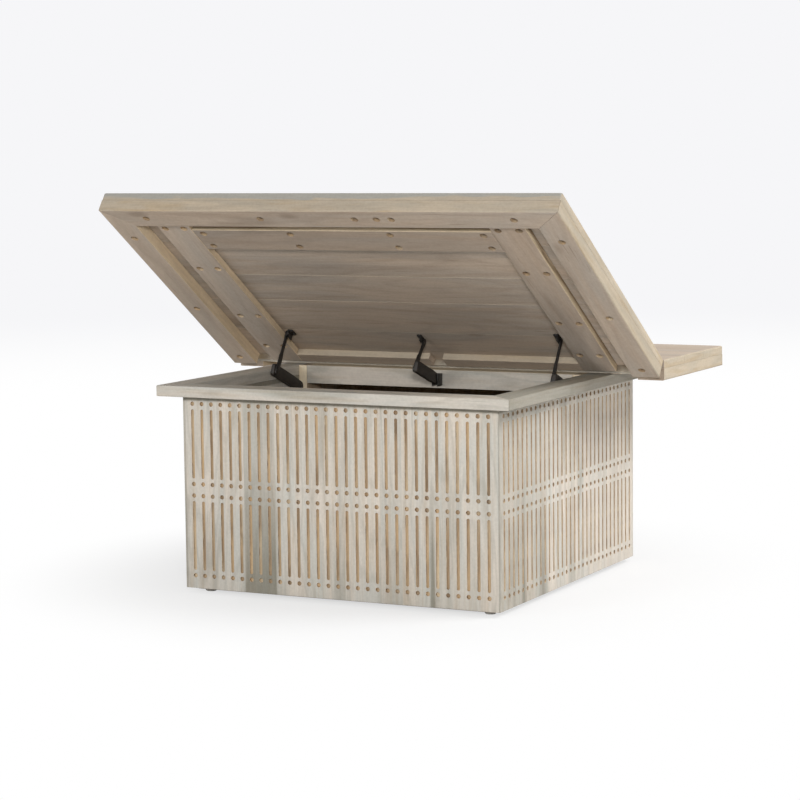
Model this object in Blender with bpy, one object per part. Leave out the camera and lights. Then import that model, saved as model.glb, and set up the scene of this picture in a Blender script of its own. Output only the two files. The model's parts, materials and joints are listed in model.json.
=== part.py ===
"""Carved storage coffee table: a square fluted box, a fixed rear top and a hinged front lid.

Metres, +Z up, floor at z = 0. The lid stands open at its rest angle, held by three folding stays.
The origin lies on the floor under the middle of the open table's bounding box.
Every piece is described where it lies when the lid is closed, in the box's own coordinates: X and Y
from the middle of the box and Z from the floor. The frame that carries a piece then opens it.
"""

import math
from collections import namedtuple

import bmesh
import bpy
from mathutils import Matrix, Vector

# Fits
SEAT_GAP = 0.0003
RUN_GAP = 0.0005
CUT_OVERSHOOT = 0.002

# Box
BASE_WIDTH = 0.7112
WALL_THICKNESS = 0.018
WALL_HEIGHT = 0.404
POST_SIZE = 0.038
BOTTOM_THICKNESS = 0.012
CLEAT_SIZE = 0.018
GLIDE_RADIUS = 0.0125
GLIDE_HEIGHT = 0.006
GLIDE_TAPER = 0.002
GLIDE_SIDES = 12

# Carving on the walls: columns of two flutes, with a drilled dot at each end of a flute
FLUTE_PITCH = 0.0222
FLUTE_WIDTH = 0.0064
FLUTE_DEPTH = 0.005
FLUTE_SIDE_MARGIN = 0.021
DOT_RADIUS = 0.0048
DOT_DEPTH = 0.005
DOT_SIDES = 6
DOT_FROM_BOTTOM = 0.0311
DOT_FROM_TOP = 0.0168
DOT_PAIR_SPACING = 0.0242
FLUTE_TO_DOT = 0.0113

# Rim and cross rail
RIM_THICKNESS = 0.0226
RIM_OVERHANG = 0.039
BRIDGE_HEIGHT = 0.0396
BRIDGE_POST_THICKNESS = 0.020

# Top, in a fixed rear part and a hinged lid
TOP_WIDTH = 1.016
TOP_DEPTH = 1.016
REAR_DEPTH = 0.366
PLANK_THICKNESS = 0.018
LID_PLANK_WIDTHS = (0.118, 0.128, 0.106, 0.128, 0.163)
REAR_PLANK_WIDTHS = (0.122, 0.122, 0.122)
BORDER_WIDTH = 0.059
BORDER_THICKNESS = 0.0255
BATTEN_THICKNESS = 0.015
BATTEN_WIDTH = 0.075
BATTEN_INSET = 0.0016
BATTEN_SIDE_CHANNEL = 0.038
BATTEN_END_CHANNEL = 0.031
BATTEN_END_GAP = 0.002
HINGE_BATTEN_WIDTH = 0.030
STAY_NOTCH_WIDTH = 0.032
STAY_NOTCH_OFFSET = 0.002

# Counterbores for the screws under the top
BORE_RADIUS = 0.0063
BORE_DEPTH = 0.007
BORE_SIDES = 6
SCREW_COLUMN_SPACING = 0.044
SCREW_ROW_SPACING = 0.047
SCREW_MARGIN = 0.015
BATTEN_SCREW_X = 0.112
BATTEN_SCREW_INSET = 0.0217
END_SCREW_INSET = 0.100
SIDE_SCREW_INSET = 0.108
SIDE_BATTEN_SCREW_INSET = 0.085
LID_FRONT_SCREW_X = (-0.142, 0.069, 0.117, 0.149)
LID_SIDE_SCREW_REACH = (0.030, 0.245)
LID_BATTEN_SCREW_REACH = (0.067, 0.200, 0.398)
REAR_BACK_SCREW_X = (-0.142, 0.142)
REAR_SIDE_SCREW_REACH = (0.060,)
REAR_BATTEN_SCREW_REACH = (0.040, 0.165)

# Continuous hinge at the top of the gap between the lid and the rear top
LID_OPEN_ANGLE = math.radians(33.8)
HINGE_GAP = 0.007
HINGE_INSET = 0.030
LEAF_HEIGHT = 0.028
LEAF_THICKNESS = 0.002
KNUCKLE_COUNT = 17
KNUCKLE_SIDES = 8
HINGE_PIN_RADIUS = 0.0015
HINGE_PIN_CLEARANCE = 0.0004

# Folding lid stays
STAY_PIVOT_INSET = 0.0125
STAY_PIVOT_DROP = 0.0085
SIDE_STAY_REACH = 0.112
SIDE_STAY_DROP = 0.076
MIDDLE_STAY_X = 0.002
MIDDLE_STAY_REACH = 0.093
MIDDLE_STAY_DROP = 0.050
LINK_THICKNESS = 0.008
LINK_FOOT_RADIUS = 0.011
LINK_KNUCKLE_RADIUS = 0.009
LINK_WAIST_RADIUS = 0.015
ARM_THICKNESS = 0.003
ARM_RADIUS = 0.006
FOOT_THICKNESS = 0.003
FOOT_LENGTH = 0.040
FOOT_HEIGHT = 0.032
FOOT_FLANGE = 0.024
BRACKET_THICKNESS = 0.0025
BRACKET_LENGTH = 0.026
BRACKET_FLANGE = 0.024
PIVOT_RADIUS = 0.0035
PIVOT_CLEARANCE = 0.0005
PIVOT_PROUD = 0.0012
PIVOT_SIDES = 10
ARC_STEPS = 6

# Levels, from the floor up, with the lid closed
WALL_BASE_Z = GLIDE_HEIGHT
WALL_TOP_Z = WALL_BASE_Z + WALL_HEIGHT
RIM_BASE_Z = WALL_TOP_Z + SEAT_GAP
RIM_TOP_Z = RIM_BASE_Z + RIM_THICKNESS
BATTEN_BASE_Z = RIM_TOP_Z + SEAT_GAP
BATTEN_TOP_Z = BATTEN_BASE_Z + BATTEN_THICKNESS
PLANK_BASE_Z = BATTEN_TOP_Z + SEAT_GAP
TOP_Z = PLANK_BASE_Z + PLANK_THICKNESS
BORDER_TOP_Z = PLANK_BASE_Z - SEAT_GAP
BORDER_BASE_Z = BORDER_TOP_Z - BORDER_THICKNESS
BOTTOM_BASE_Z = WALL_BASE_Z + CLEAT_SIZE + SEAT_GAP
BOTTOM_TOP_Z = BOTTOM_BASE_Z + BOTTOM_THICKNESS
BRIDGE_BASE_Z = RIM_TOP_Z - BRIDGE_HEIGHT

# Lines in plan
WALL_OUTER = BASE_WIDTH / 2
WALL_INNER = WALL_OUTER - WALL_THICKNESS
RIM_OUTER = WALL_OUTER + RIM_OVERHANG
RIM_WIDTH = RIM_OVERHANG + WALL_THICKNESS
POST_OUTER = WALL_INNER - SEAT_GAP
POST_INNER = POST_OUTER - POST_SIZE
TOP_SIDE = TOP_WIDTH / 2
TOP_FRONT_Y = -TOP_DEPTH / 2
TOP_BACK_Y = TOP_DEPTH / 2
REAR_FRONT_Y = TOP_BACK_Y - REAR_DEPTH
LID_BACK_Y = REAR_FRONT_Y - HINGE_GAP
LID_LENGTH = LID_BACK_Y - TOP_FRONT_Y
BATTEN_OUTER = TOP_SIDE - BORDER_WIDTH - BATTEN_SIDE_CHANNEL
BATTEN_INNER = WALL_INNER - BATTEN_INSET
CROSS_BATTEN_HALF = BATTEN_INNER - SEAT_GAP
BRIDGE_FRONT_Y = LID_BACK_Y - HINGE_BATTEN_WIDTH
BRIDGE_BACK_Y = REAR_FRONT_Y + HINGE_BATTEN_WIDTH
BRIDGE_HALF = POST_OUTER - BRIDGE_POST_THICKNESS - SEAT_GAP
HINGE_AXIS = Vector((0.0, (LID_BACK_Y + REAR_FRONT_Y) / 2, TOP_Z - HINGE_GAP / 2))
KNUCKLE_RADIUS = HINGE_GAP / 2 - SEAT_GAP
HINGE_HALF = TOP_SIDE - HINGE_INSET

# Reach of the open lid's lower front edge, which sets the origin under the middle of the table
LID_FRONT_ARM = TOP_FRONT_Y - HINGE_AXIS.y
LID_EDGE_DROP = BORDER_BASE_Z - HINGE_AXIS.z
OPEN_FRONT_Y = (
    HINGE_AXIS.y
    + LID_FRONT_ARM * math.cos(LID_OPEN_ANGLE)
    + LID_EDGE_DROP * math.sin(LID_OPEN_ANGLE)
)
BASE_CENTRE_Y = -(OPEN_FRONT_Y + TOP_BACK_Y) / 2

# Turns an outline drawn in x and y so that it lies in Y and Z, with its thickness along X
ACROSS_X = (math.pi / 2, 0.0, math.pi / 2)
# Turns an outline drawn in x and y so that it lies in X and Z, with its thickness along Y
ACROSS_Y = (math.pi / 2, 0.0, 0.0)

Frame = namedtuple("Frame", "empty pivot")


def clear_scene():
    """Removes whatever the scene holds before the model is made."""
    for obj in list(bpy.data.objects):
        bpy.data.objects.remove(obj)


def new_collection(name):
    """Adds a collection to the scene."""
    collection = bpy.data.collections.new(name)
    bpy.context.scene.collection.children.link(collection)
    return collection


def new_material(name, colour, roughness, metallic=0.0):
    """Makes a plain finish from a linear colour."""
    material = bpy.data.materials.new(name)
    material.use_nodes = True
    shader = material.node_tree.nodes["Principled BSDF"]
    shader.inputs["Base Color"].default_value = (*colour, 1.0)
    shader.inputs["Roughness"].default_value = roughness
    shader.inputs["Metallic"].default_value = metallic
    return material


clear_scene()
PARTS = new_collection("carved_storage_table")
CUTTERS = new_collection("carved_storage_table_cutters")
LIMEWASH = new_material("limewashed_mango_wood", (0.56, 0.49, 0.40), 0.75)
RAW_WOOD = new_material("raw_mango_wood", (0.40, 0.33, 0.25), 0.80)
PLYWOOD = new_material("plywood", (0.45, 0.36, 0.26), 0.80)
BLACK_STEEL = new_material("black_painted_steel", (0.012, 0.012, 0.013), 0.45, 0.0)
HINGE_STEEL = new_material("antique_hinge_steel", (0.20, 0.17, 0.13), 0.45, 1.0)
GLIDE_PLASTIC = new_material("grey_glide_plastic", (0.17, 0.17, 0.17), 0.60)


def new_frame(name, pivot, carrier=None, turn=0.0):
    """Adds an empty at a pivot point, turned about X, and carried by another frame."""
    empty = bpy.data.objects.new(name, None)
    PARTS.objects.link(empty)
    if carrier is None:
        empty.location = pivot
        return Frame(empty, Vector((0.0, 0.0, 0.0)))
    empty.parent = carrier.empty
    empty.location = pivot - carrier.pivot
    empty.rotation_euler.x = turn
    return Frame(empty, pivot)


def add_object(name, mesh, centre, frame, collection, rotation=(0.0, 0.0, 0.0)):
    """Places a mesh where it lies with the lid closed, on the frame that carries it."""
    obj = bpy.data.objects.new(name, mesh)
    collection.objects.link(obj)
    obj.parent = frame.empty
    obj.location = Vector(centre) - frame.pivot
    obj.rotation_euler = rotation
    return obj


def add_part(name, mesh, centre, frame, material, rotation=(0.0, 0.0, 0.0)):
    """Adds a finished piece."""
    mesh.materials.clear()
    mesh.materials.append(material)
    return add_object(name, mesh, centre, frame, PARTS, rotation)


def combine(part, mesh, centre, frame, operation="DIFFERENCE", rotation=(0.0, 0.0, 0.0)):
    """Cuts a mesh from a part, or joins it on, with a hidden tool object."""
    tool = add_object(f"{part.name}_{operation.lower()}", mesh, centre, frame, CUTTERS, rotation)
    tool.hide_render = True
    tool.display_type = "WIRE"
    modifier = part.modifiers.new(operation.lower(), "BOOLEAN")
    modifier.operation = operation
    modifier.solver = "EXACT"
    modifier.object = tool


def finish_mesh(name, bm):
    """Turns an edit mesh into a mesh."""
    mesh = bpy.data.meshes.new(name)
    bm.to_mesh(mesh)
    bm.free()
    return mesh


def add_box(name, low, high, frame, material):
    """Adds a box between two corners."""
    low = Vector(low)
    high = Vector(high)
    bm = bmesh.new()
    bmesh.ops.create_cube(bm, size=1.0)
    bmesh.ops.scale(bm, vec=high - low, verts=bm.verts)
    return add_part(name, finish_mesh(name, bm), (low + high) / 2, frame, material)


def outline_mesh(name, loops, thickness):
    """Makes a flat plate from an outer loop and any holes, centred on its thickness."""
    curve = bpy.data.curves.new(name, "CURVE")
    curve.dimensions = "2D"
    curve.fill_mode = "BOTH"
    curve.extrude = thickness / 2
    for loop in loops:
        spline = curve.splines.new("POLY")
        spline.points.add(len(loop) - 1)
        for point, (x, y) in zip(spline.points, loop):
            point.co = (x, y, 0.0, 1.0)
        spline.use_cyclic_u = True
    guide = bpy.data.objects.new(name, curve)
    CUTTERS.objects.link(guide)
    evaluated = guide.evaluated_get(bpy.context.evaluated_depsgraph_get())
    mesh = bpy.data.meshes.new_from_object(evaluated)
    mesh.name = name
    bpy.data.objects.remove(guide)
    bpy.data.curves.remove(curve)
    bm = bmesh.new()
    bm.from_mesh(mesh)
    bmesh.ops.remove_doubles(bm, verts=bm.verts, dist=0.00001)
    bm.to_mesh(mesh)
    bm.free()
    return mesh


def circle(centre, radius, sides):
    """Points of a circle in an outline."""
    step = 2 * math.pi / sides
    return [
        (centre[0] + radius * math.cos(i * step), centre[1] + radius * math.sin(i * step))
        for i in range(sides)
    ]


def arc(centre, radius, start, end):
    """Points of an arc in an outline, from one angle to another."""
    step = (end - start) / ARC_STEPS
    return [
        (
            centre[0] + radius * math.cos(start + i * step),
            centre[1] + radius * math.sin(start + i * step),
        )
        for i in range(ARC_STEPS + 1)
    ]


def strip_outline(length, width, mitre_start, mitre_end):
    """Outline of a strip with its outer edge on y = 0, its ends mitred or square."""
    setback = SEAT_GAP / math.sqrt(2)
    start = -length / 2
    end = length / 2
    outer_start = start + setback if mitre_start else start
    outer_end = end - setback if mitre_end else end
    inner_start = outer_start + width if mitre_start else start
    inner_end = outer_end - width if mitre_end else end
    return [(outer_start, 0.0), (outer_end, 0.0), (inner_end, width), (inner_start, width)]


def cylinder(bm, radius_low, radius_high, low, high, sides):
    """Adds a closed round body between two points along X, Y or Z."""
    axis = high - low
    turn = Vector((0.0, 0.0, 1.0)).rotation_difference(axis).to_matrix().to_4x4()
    bmesh.ops.create_cone(
        bm,
        cap_ends=True,
        segments=sides,
        radius1=radius_low,
        radius2=radius_high,
        depth=axis.length,
        matrix=Matrix.Translation((low + high) / 2) @ turn,
    )


def add_flute(bm, x, low, high):
    """Adds the cutter of one flute: a wedge whose keel lies in the wall's outer face at y = 0."""
    spread = (FLUTE_DEPTH + CUT_OVERSHOOT) / FLUTE_DEPTH
    made = bmesh.ops.create_cube(bm, size=1.0)["verts"]
    for vert in made:
        outside = vert.co.y < 0
        half_width = FLUTE_WIDTH / 2 * spread if outside else 0.0
        half_length = (high - low) / 2 + FLUTE_WIDTH / 2 * ((spread if outside else 0.0) - 1)
        vert.co = (
            x + math.copysign(half_width, vert.co.x),
            -CUT_OVERSHOOT if outside else FLUTE_DEPTH,
            (low + high) / 2 + math.copysign(half_length, vert.co.z),
        )


def add_dot(bm, x, z):
    """Adds the cutter of one drilled dot: a cone that points into the wall."""
    spread = (DOT_DEPTH + CUT_OVERSHOOT) / DOT_DEPTH
    mouth = Vector((x, -CUT_OVERSHOOT, z))
    tip = Vector((x, DOT_DEPTH, z))
    cylinder(bm, DOT_RADIUS * spread, 0.0, mouth, tip, DOT_SIDES)


def carving_mesh():
    """Cutters of one wall's flutes and dots, with z from the middle of the wall's height."""
    spaces = math.floor((BASE_WIDTH - 2 * FLUTE_SIDE_MARGIN) / FLUTE_PITCH)
    low_dot = DOT_FROM_BOTTOM - WALL_HEIGHT / 2
    high_dot = WALL_HEIGHT / 2 - DOT_FROM_TOP
    middle = (low_dot + high_dot) / 2
    runs = (
        (low_dot, middle - DOT_PAIR_SPACING / 2),
        (middle + DOT_PAIR_SPACING / 2, high_dot),
    )
    bm = bmesh.new()
    for column in range(spaces + 1):
        x = (column - spaces / 2) * FLUTE_PITCH
        for run_low, run_high in runs:
            add_flute(bm, x, run_low + FLUTE_TO_DOT, run_high - FLUTE_TO_DOT)
            add_dot(bm, x, run_low)
            add_dot(bm, x, run_high)
    bmesh.ops.remove_doubles(bm, verts=bm.verts, dist=0.00001)
    bmesh.ops.recalc_face_normals(bm, faces=bm.faces)
    return finish_mesh("wall_carving", bm)


def build_box(base):
    """Walls, rim, corner posts, bottom and cleats."""
    wall_mesh = outline_mesh(
        "wall", [strip_outline(BASE_WIDTH, WALL_THICKNESS, True, True)], WALL_HEIGHT
    )
    rim_mesh = outline_mesh(
        "rim", [strip_outline(2 * RIM_OUTER, RIM_WIDTH, True, True)], RIM_THICKNESS
    )
    carving = carving_mesh()
    for turn, side in enumerate(("front", "right", "back", "left")):
        angle = turn * math.pi / 2
        outward = Matrix.Rotation(angle, 3, "Z") @ Vector((0.0, -1.0, 0.0))
        facing = (0.0, 0.0, angle)
        wall_centre = outward * WALL_OUTER
        wall_centre.z = (WALL_BASE_Z + WALL_TOP_Z) / 2
        wall = add_part(f"wall_{side}", wall_mesh, wall_centre, base, LIMEWASH, facing)
        combine(wall, carving, wall_centre, base, rotation=facing)
        rim_centre = outward * RIM_OUTER
        rim_centre.z = (RIM_BASE_Z + RIM_TOP_Z) / 2
        add_part(f"rim_{side}", rim_mesh, rim_centre, base, LIMEWASH, facing)

    for x_side, x_name in ((-1, "left"), (1, "right")):
        for y_side, y_name in ((-1, "front"), (1, "back")):
            corners = [(x_side * reach, y_side * reach) for reach in (POST_INNER, POST_OUTER)]
            low = (min(c[0] for c in corners), min(c[1] for c in corners), WALL_BASE_Z)
            high = (max(c[0] for c in corners), max(c[1] for c in corners), WALL_TOP_Z)
            add_box(f"corner_post_{y_name}_{x_name}", low, high, base, RAW_WOOD)

    cleat_half = POST_INNER - SEAT_GAP
    for y_side, y_name in ((-1, "front"), (1, "back")):
        edges = sorted((y_side * POST_OUTER, y_side * (POST_OUTER - CLEAT_SIZE)))
        low = (-cleat_half, edges[0], WALL_BASE_Z)
        high = (cleat_half, edges[1], WALL_BASE_Z + CLEAT_SIZE)
        add_box(f"bottom_cleat_{y_name}", low, high, base, RAW_WOOD)

    wide = POST_OUTER
    narrow = POST_INNER - SEAT_GAP
    notched = [
        (-narrow, -wide), (narrow, -wide), (narrow, -narrow), (wide, -narrow),
        (wide, narrow), (narrow, narrow), (narrow, wide), (-narrow, wide),
        (-narrow, narrow), (-wide, narrow), (-wide, -narrow), (-narrow, -narrow),
    ]
    bottom_centre = (0.0, 0.0, (BOTTOM_BASE_Z + BOTTOM_TOP_Z) / 2)
    bottom_mesh = outline_mesh("bottom", [notched], BOTTOM_THICKNESS)
    add_part("bottom_panel", bottom_mesh, bottom_centre, base, PLYWOOD)


def build_glides(base):
    """Round glide under each corner post."""
    reach = (POST_INNER + POST_OUTER) / 2
    foot = Vector((0.0, 0.0, 0.0))
    head = Vector((0.0, 0.0, GLIDE_HEIGHT - SEAT_GAP))
    bm = bmesh.new()
    cylinder(bm, GLIDE_RADIUS - GLIDE_TAPER, GLIDE_RADIUS, foot, head, GLIDE_SIDES)
    mesh = finish_mesh("glide", bm)
    for x_side, x_name in ((-1, "left"), (1, "right")):
        for y_side, y_name in ((-1, "front"), (1, "back")):
            centre = (x_side * reach, y_side * reach, 0.0)
            add_part(f"glide_{y_name}_{x_name}", mesh, centre, base, GLIDE_PLASTIC)


def build_bridge(base):
    """Cross rail under the hinge line, and the post at each of its ends."""
    low = (-BRIDGE_HALF, BRIDGE_FRONT_Y, BRIDGE_BASE_Z)
    high = (BRIDGE_HALF, BRIDGE_BACK_Y, RIM_TOP_Z)
    add_box("bridge_rail", low, high, base, LIMEWASH)
    for x_side, x_name in ((-1, "left"), (1, "right")):
        edges = sorted((x_side * POST_OUTER, x_side * (POST_OUTER - BRIDGE_POST_THICKNESS)))
        low = (edges[0], BRIDGE_FRONT_Y, BOTTOM_TOP_Z + SEAT_GAP)
        high = (edges[1], BRIDGE_BACK_Y, RIM_TOP_Z)
        add_box(f"bridge_post_{x_name}", low, high, base, RAW_WOOD)


def drill(board, points, face_z, frame):
    """Counterbores a board's underside at each point."""
    bm = bmesh.new()
    for x, y in points:
        mouth = Vector((x, y, face_z - CUT_OVERSHOOT))
        end = Vector((x, y, face_z + BORE_DEPTH))
        cylinder(bm, BORE_RADIUS, BORE_RADIUS, mouth, end, BORE_SIDES)
    combine(board, finish_mesh(f"{board.name}_bores", bm), (0.0, 0.0, 0.0), frame)


def add_planks(prefix, widths, hinge_y, end_y, frame):
    """Lays planks from the hinge line to an end of the top, ripped alike so that they fill it."""
    heading = math.copysign(1.0, end_y - hinge_y)
    ripping = (end_y - hinge_y) / sum(widths)
    edges = [hinge_y]
    for width in widths:
        edges.append(edges[-1] + ripping * width)
    for index, (near, far) in enumerate(zip(edges, edges[1:]), start=1):
        near_gap = 0.0 if index == 1 else SEAT_GAP
        y_low, y_high = sorted((near + heading * near_gap, far))
        low = (-TOP_SIDE, y_low, PLANK_BASE_Z)
        high = (TOP_SIDE, y_high, TOP_Z)
        add_box(f"{prefix}_plank_{index}", low, high, frame, LIMEWASH)


def add_borders(prefix, end_name, hinge_y, end_y, frame):
    """Adds the strip under the end of the top and the two strips under its sides."""
    border_z = (BORDER_BASE_Z + BORDER_TOP_Z) / 2
    at_front = end_y < hinge_y
    length = abs(end_y - hinge_y)
    middle_y = (hinge_y + end_y) / 2
    end_mesh = outline_mesh(
        f"{prefix}_end", [strip_outline(TOP_WIDTH, BORDER_WIDTH, True, True)], BORDER_THICKNESS
    )
    facing = (0.0, 0.0, 0.0 if at_front else math.pi)
    end_border = add_part(
        f"{prefix}_border_{end_name}", end_mesh, (0.0, end_y, border_z), frame, LIMEWASH, facing
    )
    side_borders = []
    for x_side, x_name in ((-1, "left"), (1, "right")):
        mitre_start = (x_side > 0) == at_front
        outline = strip_outline(length, BORDER_WIDTH, mitre_start, not mitre_start)
        mesh = outline_mesh(f"{prefix}_{x_name}", [outline], BORDER_THICKNESS)
        facing = (0.0, 0.0, x_side * math.pi / 2)
        centre = (x_side * TOP_SIDE, middle_y, border_z)
        name = f"{prefix}_border_{x_name}"
        side_borders.append(add_part(name, mesh, centre, frame, LIMEWASH, facing))
    return end_border, side_borders


def add_battens(prefix, end_name, hinge_y, end_y, frame):
    """Adds the two side battens, which rest on the rim, and the wide batten across the end."""
    heading = math.copysign(1.0, end_y - hinge_y)
    stop_y = end_y - heading * (BORDER_WIDTH + BATTEN_END_GAP)
    side_battens = []
    for x_side, x_name in ((-1, "left"), (1, "right")):
        x_low, x_high = sorted((x_side * BATTEN_INNER, x_side * BATTEN_OUTER))
        y_low, y_high = sorted((hinge_y, stop_y))
        low = (x_low, y_low, BATTEN_BASE_Z)
        high = (x_high, y_high, BATTEN_TOP_Z)
        side_battens.append(add_box(f"{prefix}_batten_{x_name}", low, high, frame, LIMEWASH))
    outer_y = end_y - heading * (BORDER_WIDTH + BATTEN_END_CHANNEL)
    y_low, y_high = sorted((outer_y, outer_y - heading * BATTEN_WIDTH))
    low = (-CROSS_BATTEN_HALF, y_low, BATTEN_BASE_Z)
    high = (CROSS_BATTEN_HALF, y_high, BATTEN_TOP_Z)
    end_batten = add_box(f"{prefix}_batten_{end_name}", low, high, frame, LIMEWASH)
    return end_batten, side_battens


def drill_top(borders, battens, screw_plan, frame):
    """Counterbores the borders and wide battens of one part of the top."""
    end_border, side_borders = borders
    end_batten, side_battens = battens
    hinge_y, end_y, end_screw_x, side_reach, batten_reach = screw_plan
    heading = math.copysign(1.0, end_y - hinge_y)
    strip_middle = BORDER_WIDTH / 2
    end_x = TOP_SIDE - END_SCREW_INSET
    points = [(x, end_y - heading * strip_middle) for x in (-end_x, *end_screw_x, end_x)]
    drill(end_border, points, BORDER_BASE_Z, frame)
    side_y = [hinge_y + heading * reach for reach in side_reach]
    side_y.append(end_y - heading * SIDE_SCREW_INSET)
    batten_y = [hinge_y + heading * reach for reach in batten_reach]
    batten_y.append(end_y - heading * SIDE_BATTEN_SCREW_INSET)
    room = BATTEN_OUTER - BATTEN_INNER - 2 * SCREW_MARGIN
    spaces = max(0, math.floor(room / SCREW_COLUMN_SPACING))
    columns = [(column - spaces / 2) * SCREW_COLUMN_SPACING for column in range(spaces + 1)]
    for x_side, border, batten in zip((-1, 1), side_borders, side_battens):
        border_x = x_side * (TOP_SIDE - strip_middle)
        drill(border, [(border_x, y) for y in side_y], BORDER_BASE_Z, frame)
        batten_x = x_side * (BATTEN_INNER + BATTEN_OUTER) / 2
        points = [(batten_x + column, y) for y in batten_y for column in columns]
        drill(batten, points, BATTEN_BASE_Z, frame)
    end_batten_y = end_y - heading * (BORDER_WIDTH + BATTEN_END_CHANNEL + BATTEN_WIDTH / 2)
    points = [
        (x_side * x, end_batten_y + row * SCREW_ROW_SPACING / 2)
        for x in (BATTEN_SCREW_X, CROSS_BATTEN_HALF - BATTEN_SCREW_INSET)
        for x_side in (-1, 1)
        for row in (-1, 1)
    ]
    drill(end_batten, points, BATTEN_BASE_Z, frame)


def build_rear_top(base):
    """Fixed rear part of the top."""
    add_planks("rear", REAR_PLANK_WIDTHS, REAR_FRONT_Y, TOP_BACK_Y, base)
    borders = add_borders("rear", "back", REAR_FRONT_Y, TOP_BACK_Y, base)
    battens = add_battens("rear", "back", REAR_FRONT_Y, TOP_BACK_Y, base)
    low = (-CROSS_BATTEN_HALF, REAR_FRONT_Y, BATTEN_BASE_Z)
    high = (CROSS_BATTEN_HALF, BRIDGE_BACK_Y, BATTEN_TOP_Z)
    add_box("rear_batten_hinge", low, high, base, LIMEWASH)
    plan = (
        REAR_FRONT_Y, TOP_BACK_Y, REAR_BACK_SCREW_X, REAR_SIDE_SCREW_REACH, REAR_BATTEN_SCREW_REACH
    )
    drill_top(borders, battens, plan, base)


def build_lid(lid):
    """Hinged front part of the top."""
    add_planks("lid", LID_PLANK_WIDTHS, LID_BACK_Y, TOP_FRONT_Y, lid)
    borders = add_borders("lid", "front", LID_BACK_Y, TOP_FRONT_Y, lid)
    battens = add_battens("lid", "front", LID_BACK_Y, TOP_FRONT_Y, lid)
    notch_middle = MIDDLE_STAY_X + STAY_NOTCH_OFFSET
    notch_left = notch_middle - STAY_NOTCH_WIDTH / 2
    notch_right = notch_middle + STAY_NOTCH_WIDTH / 2
    lengths = (
        (-CROSS_BATTEN_HALF, notch_left, "left"),
        (notch_right, CROSS_BATTEN_HALF, "right"),
    )
    for x_low, x_high, x_name in lengths:
        low = (x_low, BRIDGE_FRONT_Y, BATTEN_BASE_Z)
        high = (x_high, LID_BACK_Y, BATTEN_TOP_Z)
        add_box(f"lid_batten_hinge_{x_name}", low, high, lid, LIMEWASH)
    plan = (
        LID_BACK_Y, TOP_FRONT_Y, LID_FRONT_SCREW_X, LID_SIDE_SCREW_REACH, LID_BATTEN_SCREW_REACH
    )
    drill_top(borders, battens, plan, lid)


def hinge_bodies(spans, radius):
    """Round bodies along the hinge axis, one over each span."""
    bm = bmesh.new()
    for start, end in spans:
        low = HINGE_AXIS + Vector((start, 0.0, 0.0))
        high = HINGE_AXIS + Vector((end, 0.0, 0.0))
        cylinder(bm, radius, radius, low, high, KNUCKLE_SIDES)
    return finish_mesh("hinge_bodies", bm)


def leaf_loop(spans):
    """Outline of a leaf in X and Z from the axis, with a tab up to the axis at each knuckle."""
    shoulder = -KNUCKLE_RADIUS - RUN_GAP
    loop = [(-HINGE_HALF, -LEAF_HEIGHT), (HINGE_HALF, -LEAF_HEIGHT), (HINGE_HALF, shoulder)]
    for start, end in reversed(spans):
        loop += [(end, shoulder), (end, 0.0), (start, 0.0), (start, shoulder)]
    loop.append((-HINGE_HALF, shoulder))
    return [point for index, point in enumerate(loop) if point != loop[index - 1]]


def build_hinge(base, lid):
    """Continuous hinge whose knuckles fill the top of the gap between lid and rear top."""
    pitch = (2 * HINGE_HALF + RUN_GAP) / KNUCKLE_COUNT
    starts = [-HINGE_HALF + index * pitch for index in range(KNUCKLE_COUNT)]
    spans = [(start, start + pitch - RUN_GAP) for start in starts]
    spans[-1] = (starts[-1], HINGE_HALF)
    leaf_offset = HINGE_GAP / 2 - SEAT_GAP - LEAF_THICKNESS / 2
    bore_span = (-HINGE_HALF - CUT_OVERSHOOT, HINGE_HALF + CUT_OVERSHOOT)
    bore = hinge_bodies([bore_span], HINGE_PIN_RADIUS + HINGE_PIN_CLEARANCE)
    origin = (0.0, 0.0, 0.0)
    for name, own_spans, y_side, frame in (
        ("hinge_leaf_fixed", spans[0::2], 1, base),
        ("hinge_leaf_lid", spans[1::2], -1, lid),
    ):
        mesh = outline_mesh(name, [leaf_loop(own_spans)], LEAF_THICKNESS)
        centre = HINGE_AXIS + Vector((0.0, y_side * leaf_offset, 0.0))
        leaf = add_part(name, mesh, centre, frame, HINGE_STEEL, ACROSS_Y)
        combine(leaf, hinge_bodies(own_spans, KNUCKLE_RADIUS), origin, frame, "UNION")
        combine(leaf, bore, origin, frame)
    pin = hinge_bodies([(-HINGE_HALF, HINGE_HALF)], HINGE_PIN_RADIUS)
    add_part("hinge_pin", pin, origin, base, HINGE_STEEL)


def link_outline(foot, knuckle):
    """Lozenge from the foot pivot to the knuckle, with its bore at the foot."""
    run = Vector(knuckle) - Vector(foot)
    heading = math.atan2(run.y, run.x)
    side = Vector((-run.y, run.x)).normalized() * LINK_WAIST_RADIUS
    waist = Vector(foot) + run / 2
    quarter = math.pi / 2
    loop = arc(foot, LINK_FOOT_RADIUS, heading + quarter, heading + 3 * quarter)
    loop.append(tuple(waist - side))
    loop += arc(knuckle, LINK_KNUCKLE_RADIUS, heading - quarter, heading + quarter)
    loop.append(tuple(waist + side))
    return [loop, circle(foot, PIVOT_RADIUS + PIVOT_CLEARANCE, PIVOT_SIDES)]


def arm_outline(top, knuckle):
    """Bar with round ends and a bore at each end."""
    run = Vector(knuckle) - Vector(top)
    heading = math.atan2(run.y, run.x)
    quarter = math.pi / 2
    loop = arc(top, ARM_RADIUS, heading + quarter, heading + 3 * quarter)
    loop += arc(knuckle, ARM_RADIUS, heading - quarter, heading + quarter)
    bore = PIVOT_RADIUS + PIVOT_CLEARANCE
    return [loop, circle(top, bore, PIVOT_SIDES), circle(knuckle, bore, PIVOT_SIDES)]


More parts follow.
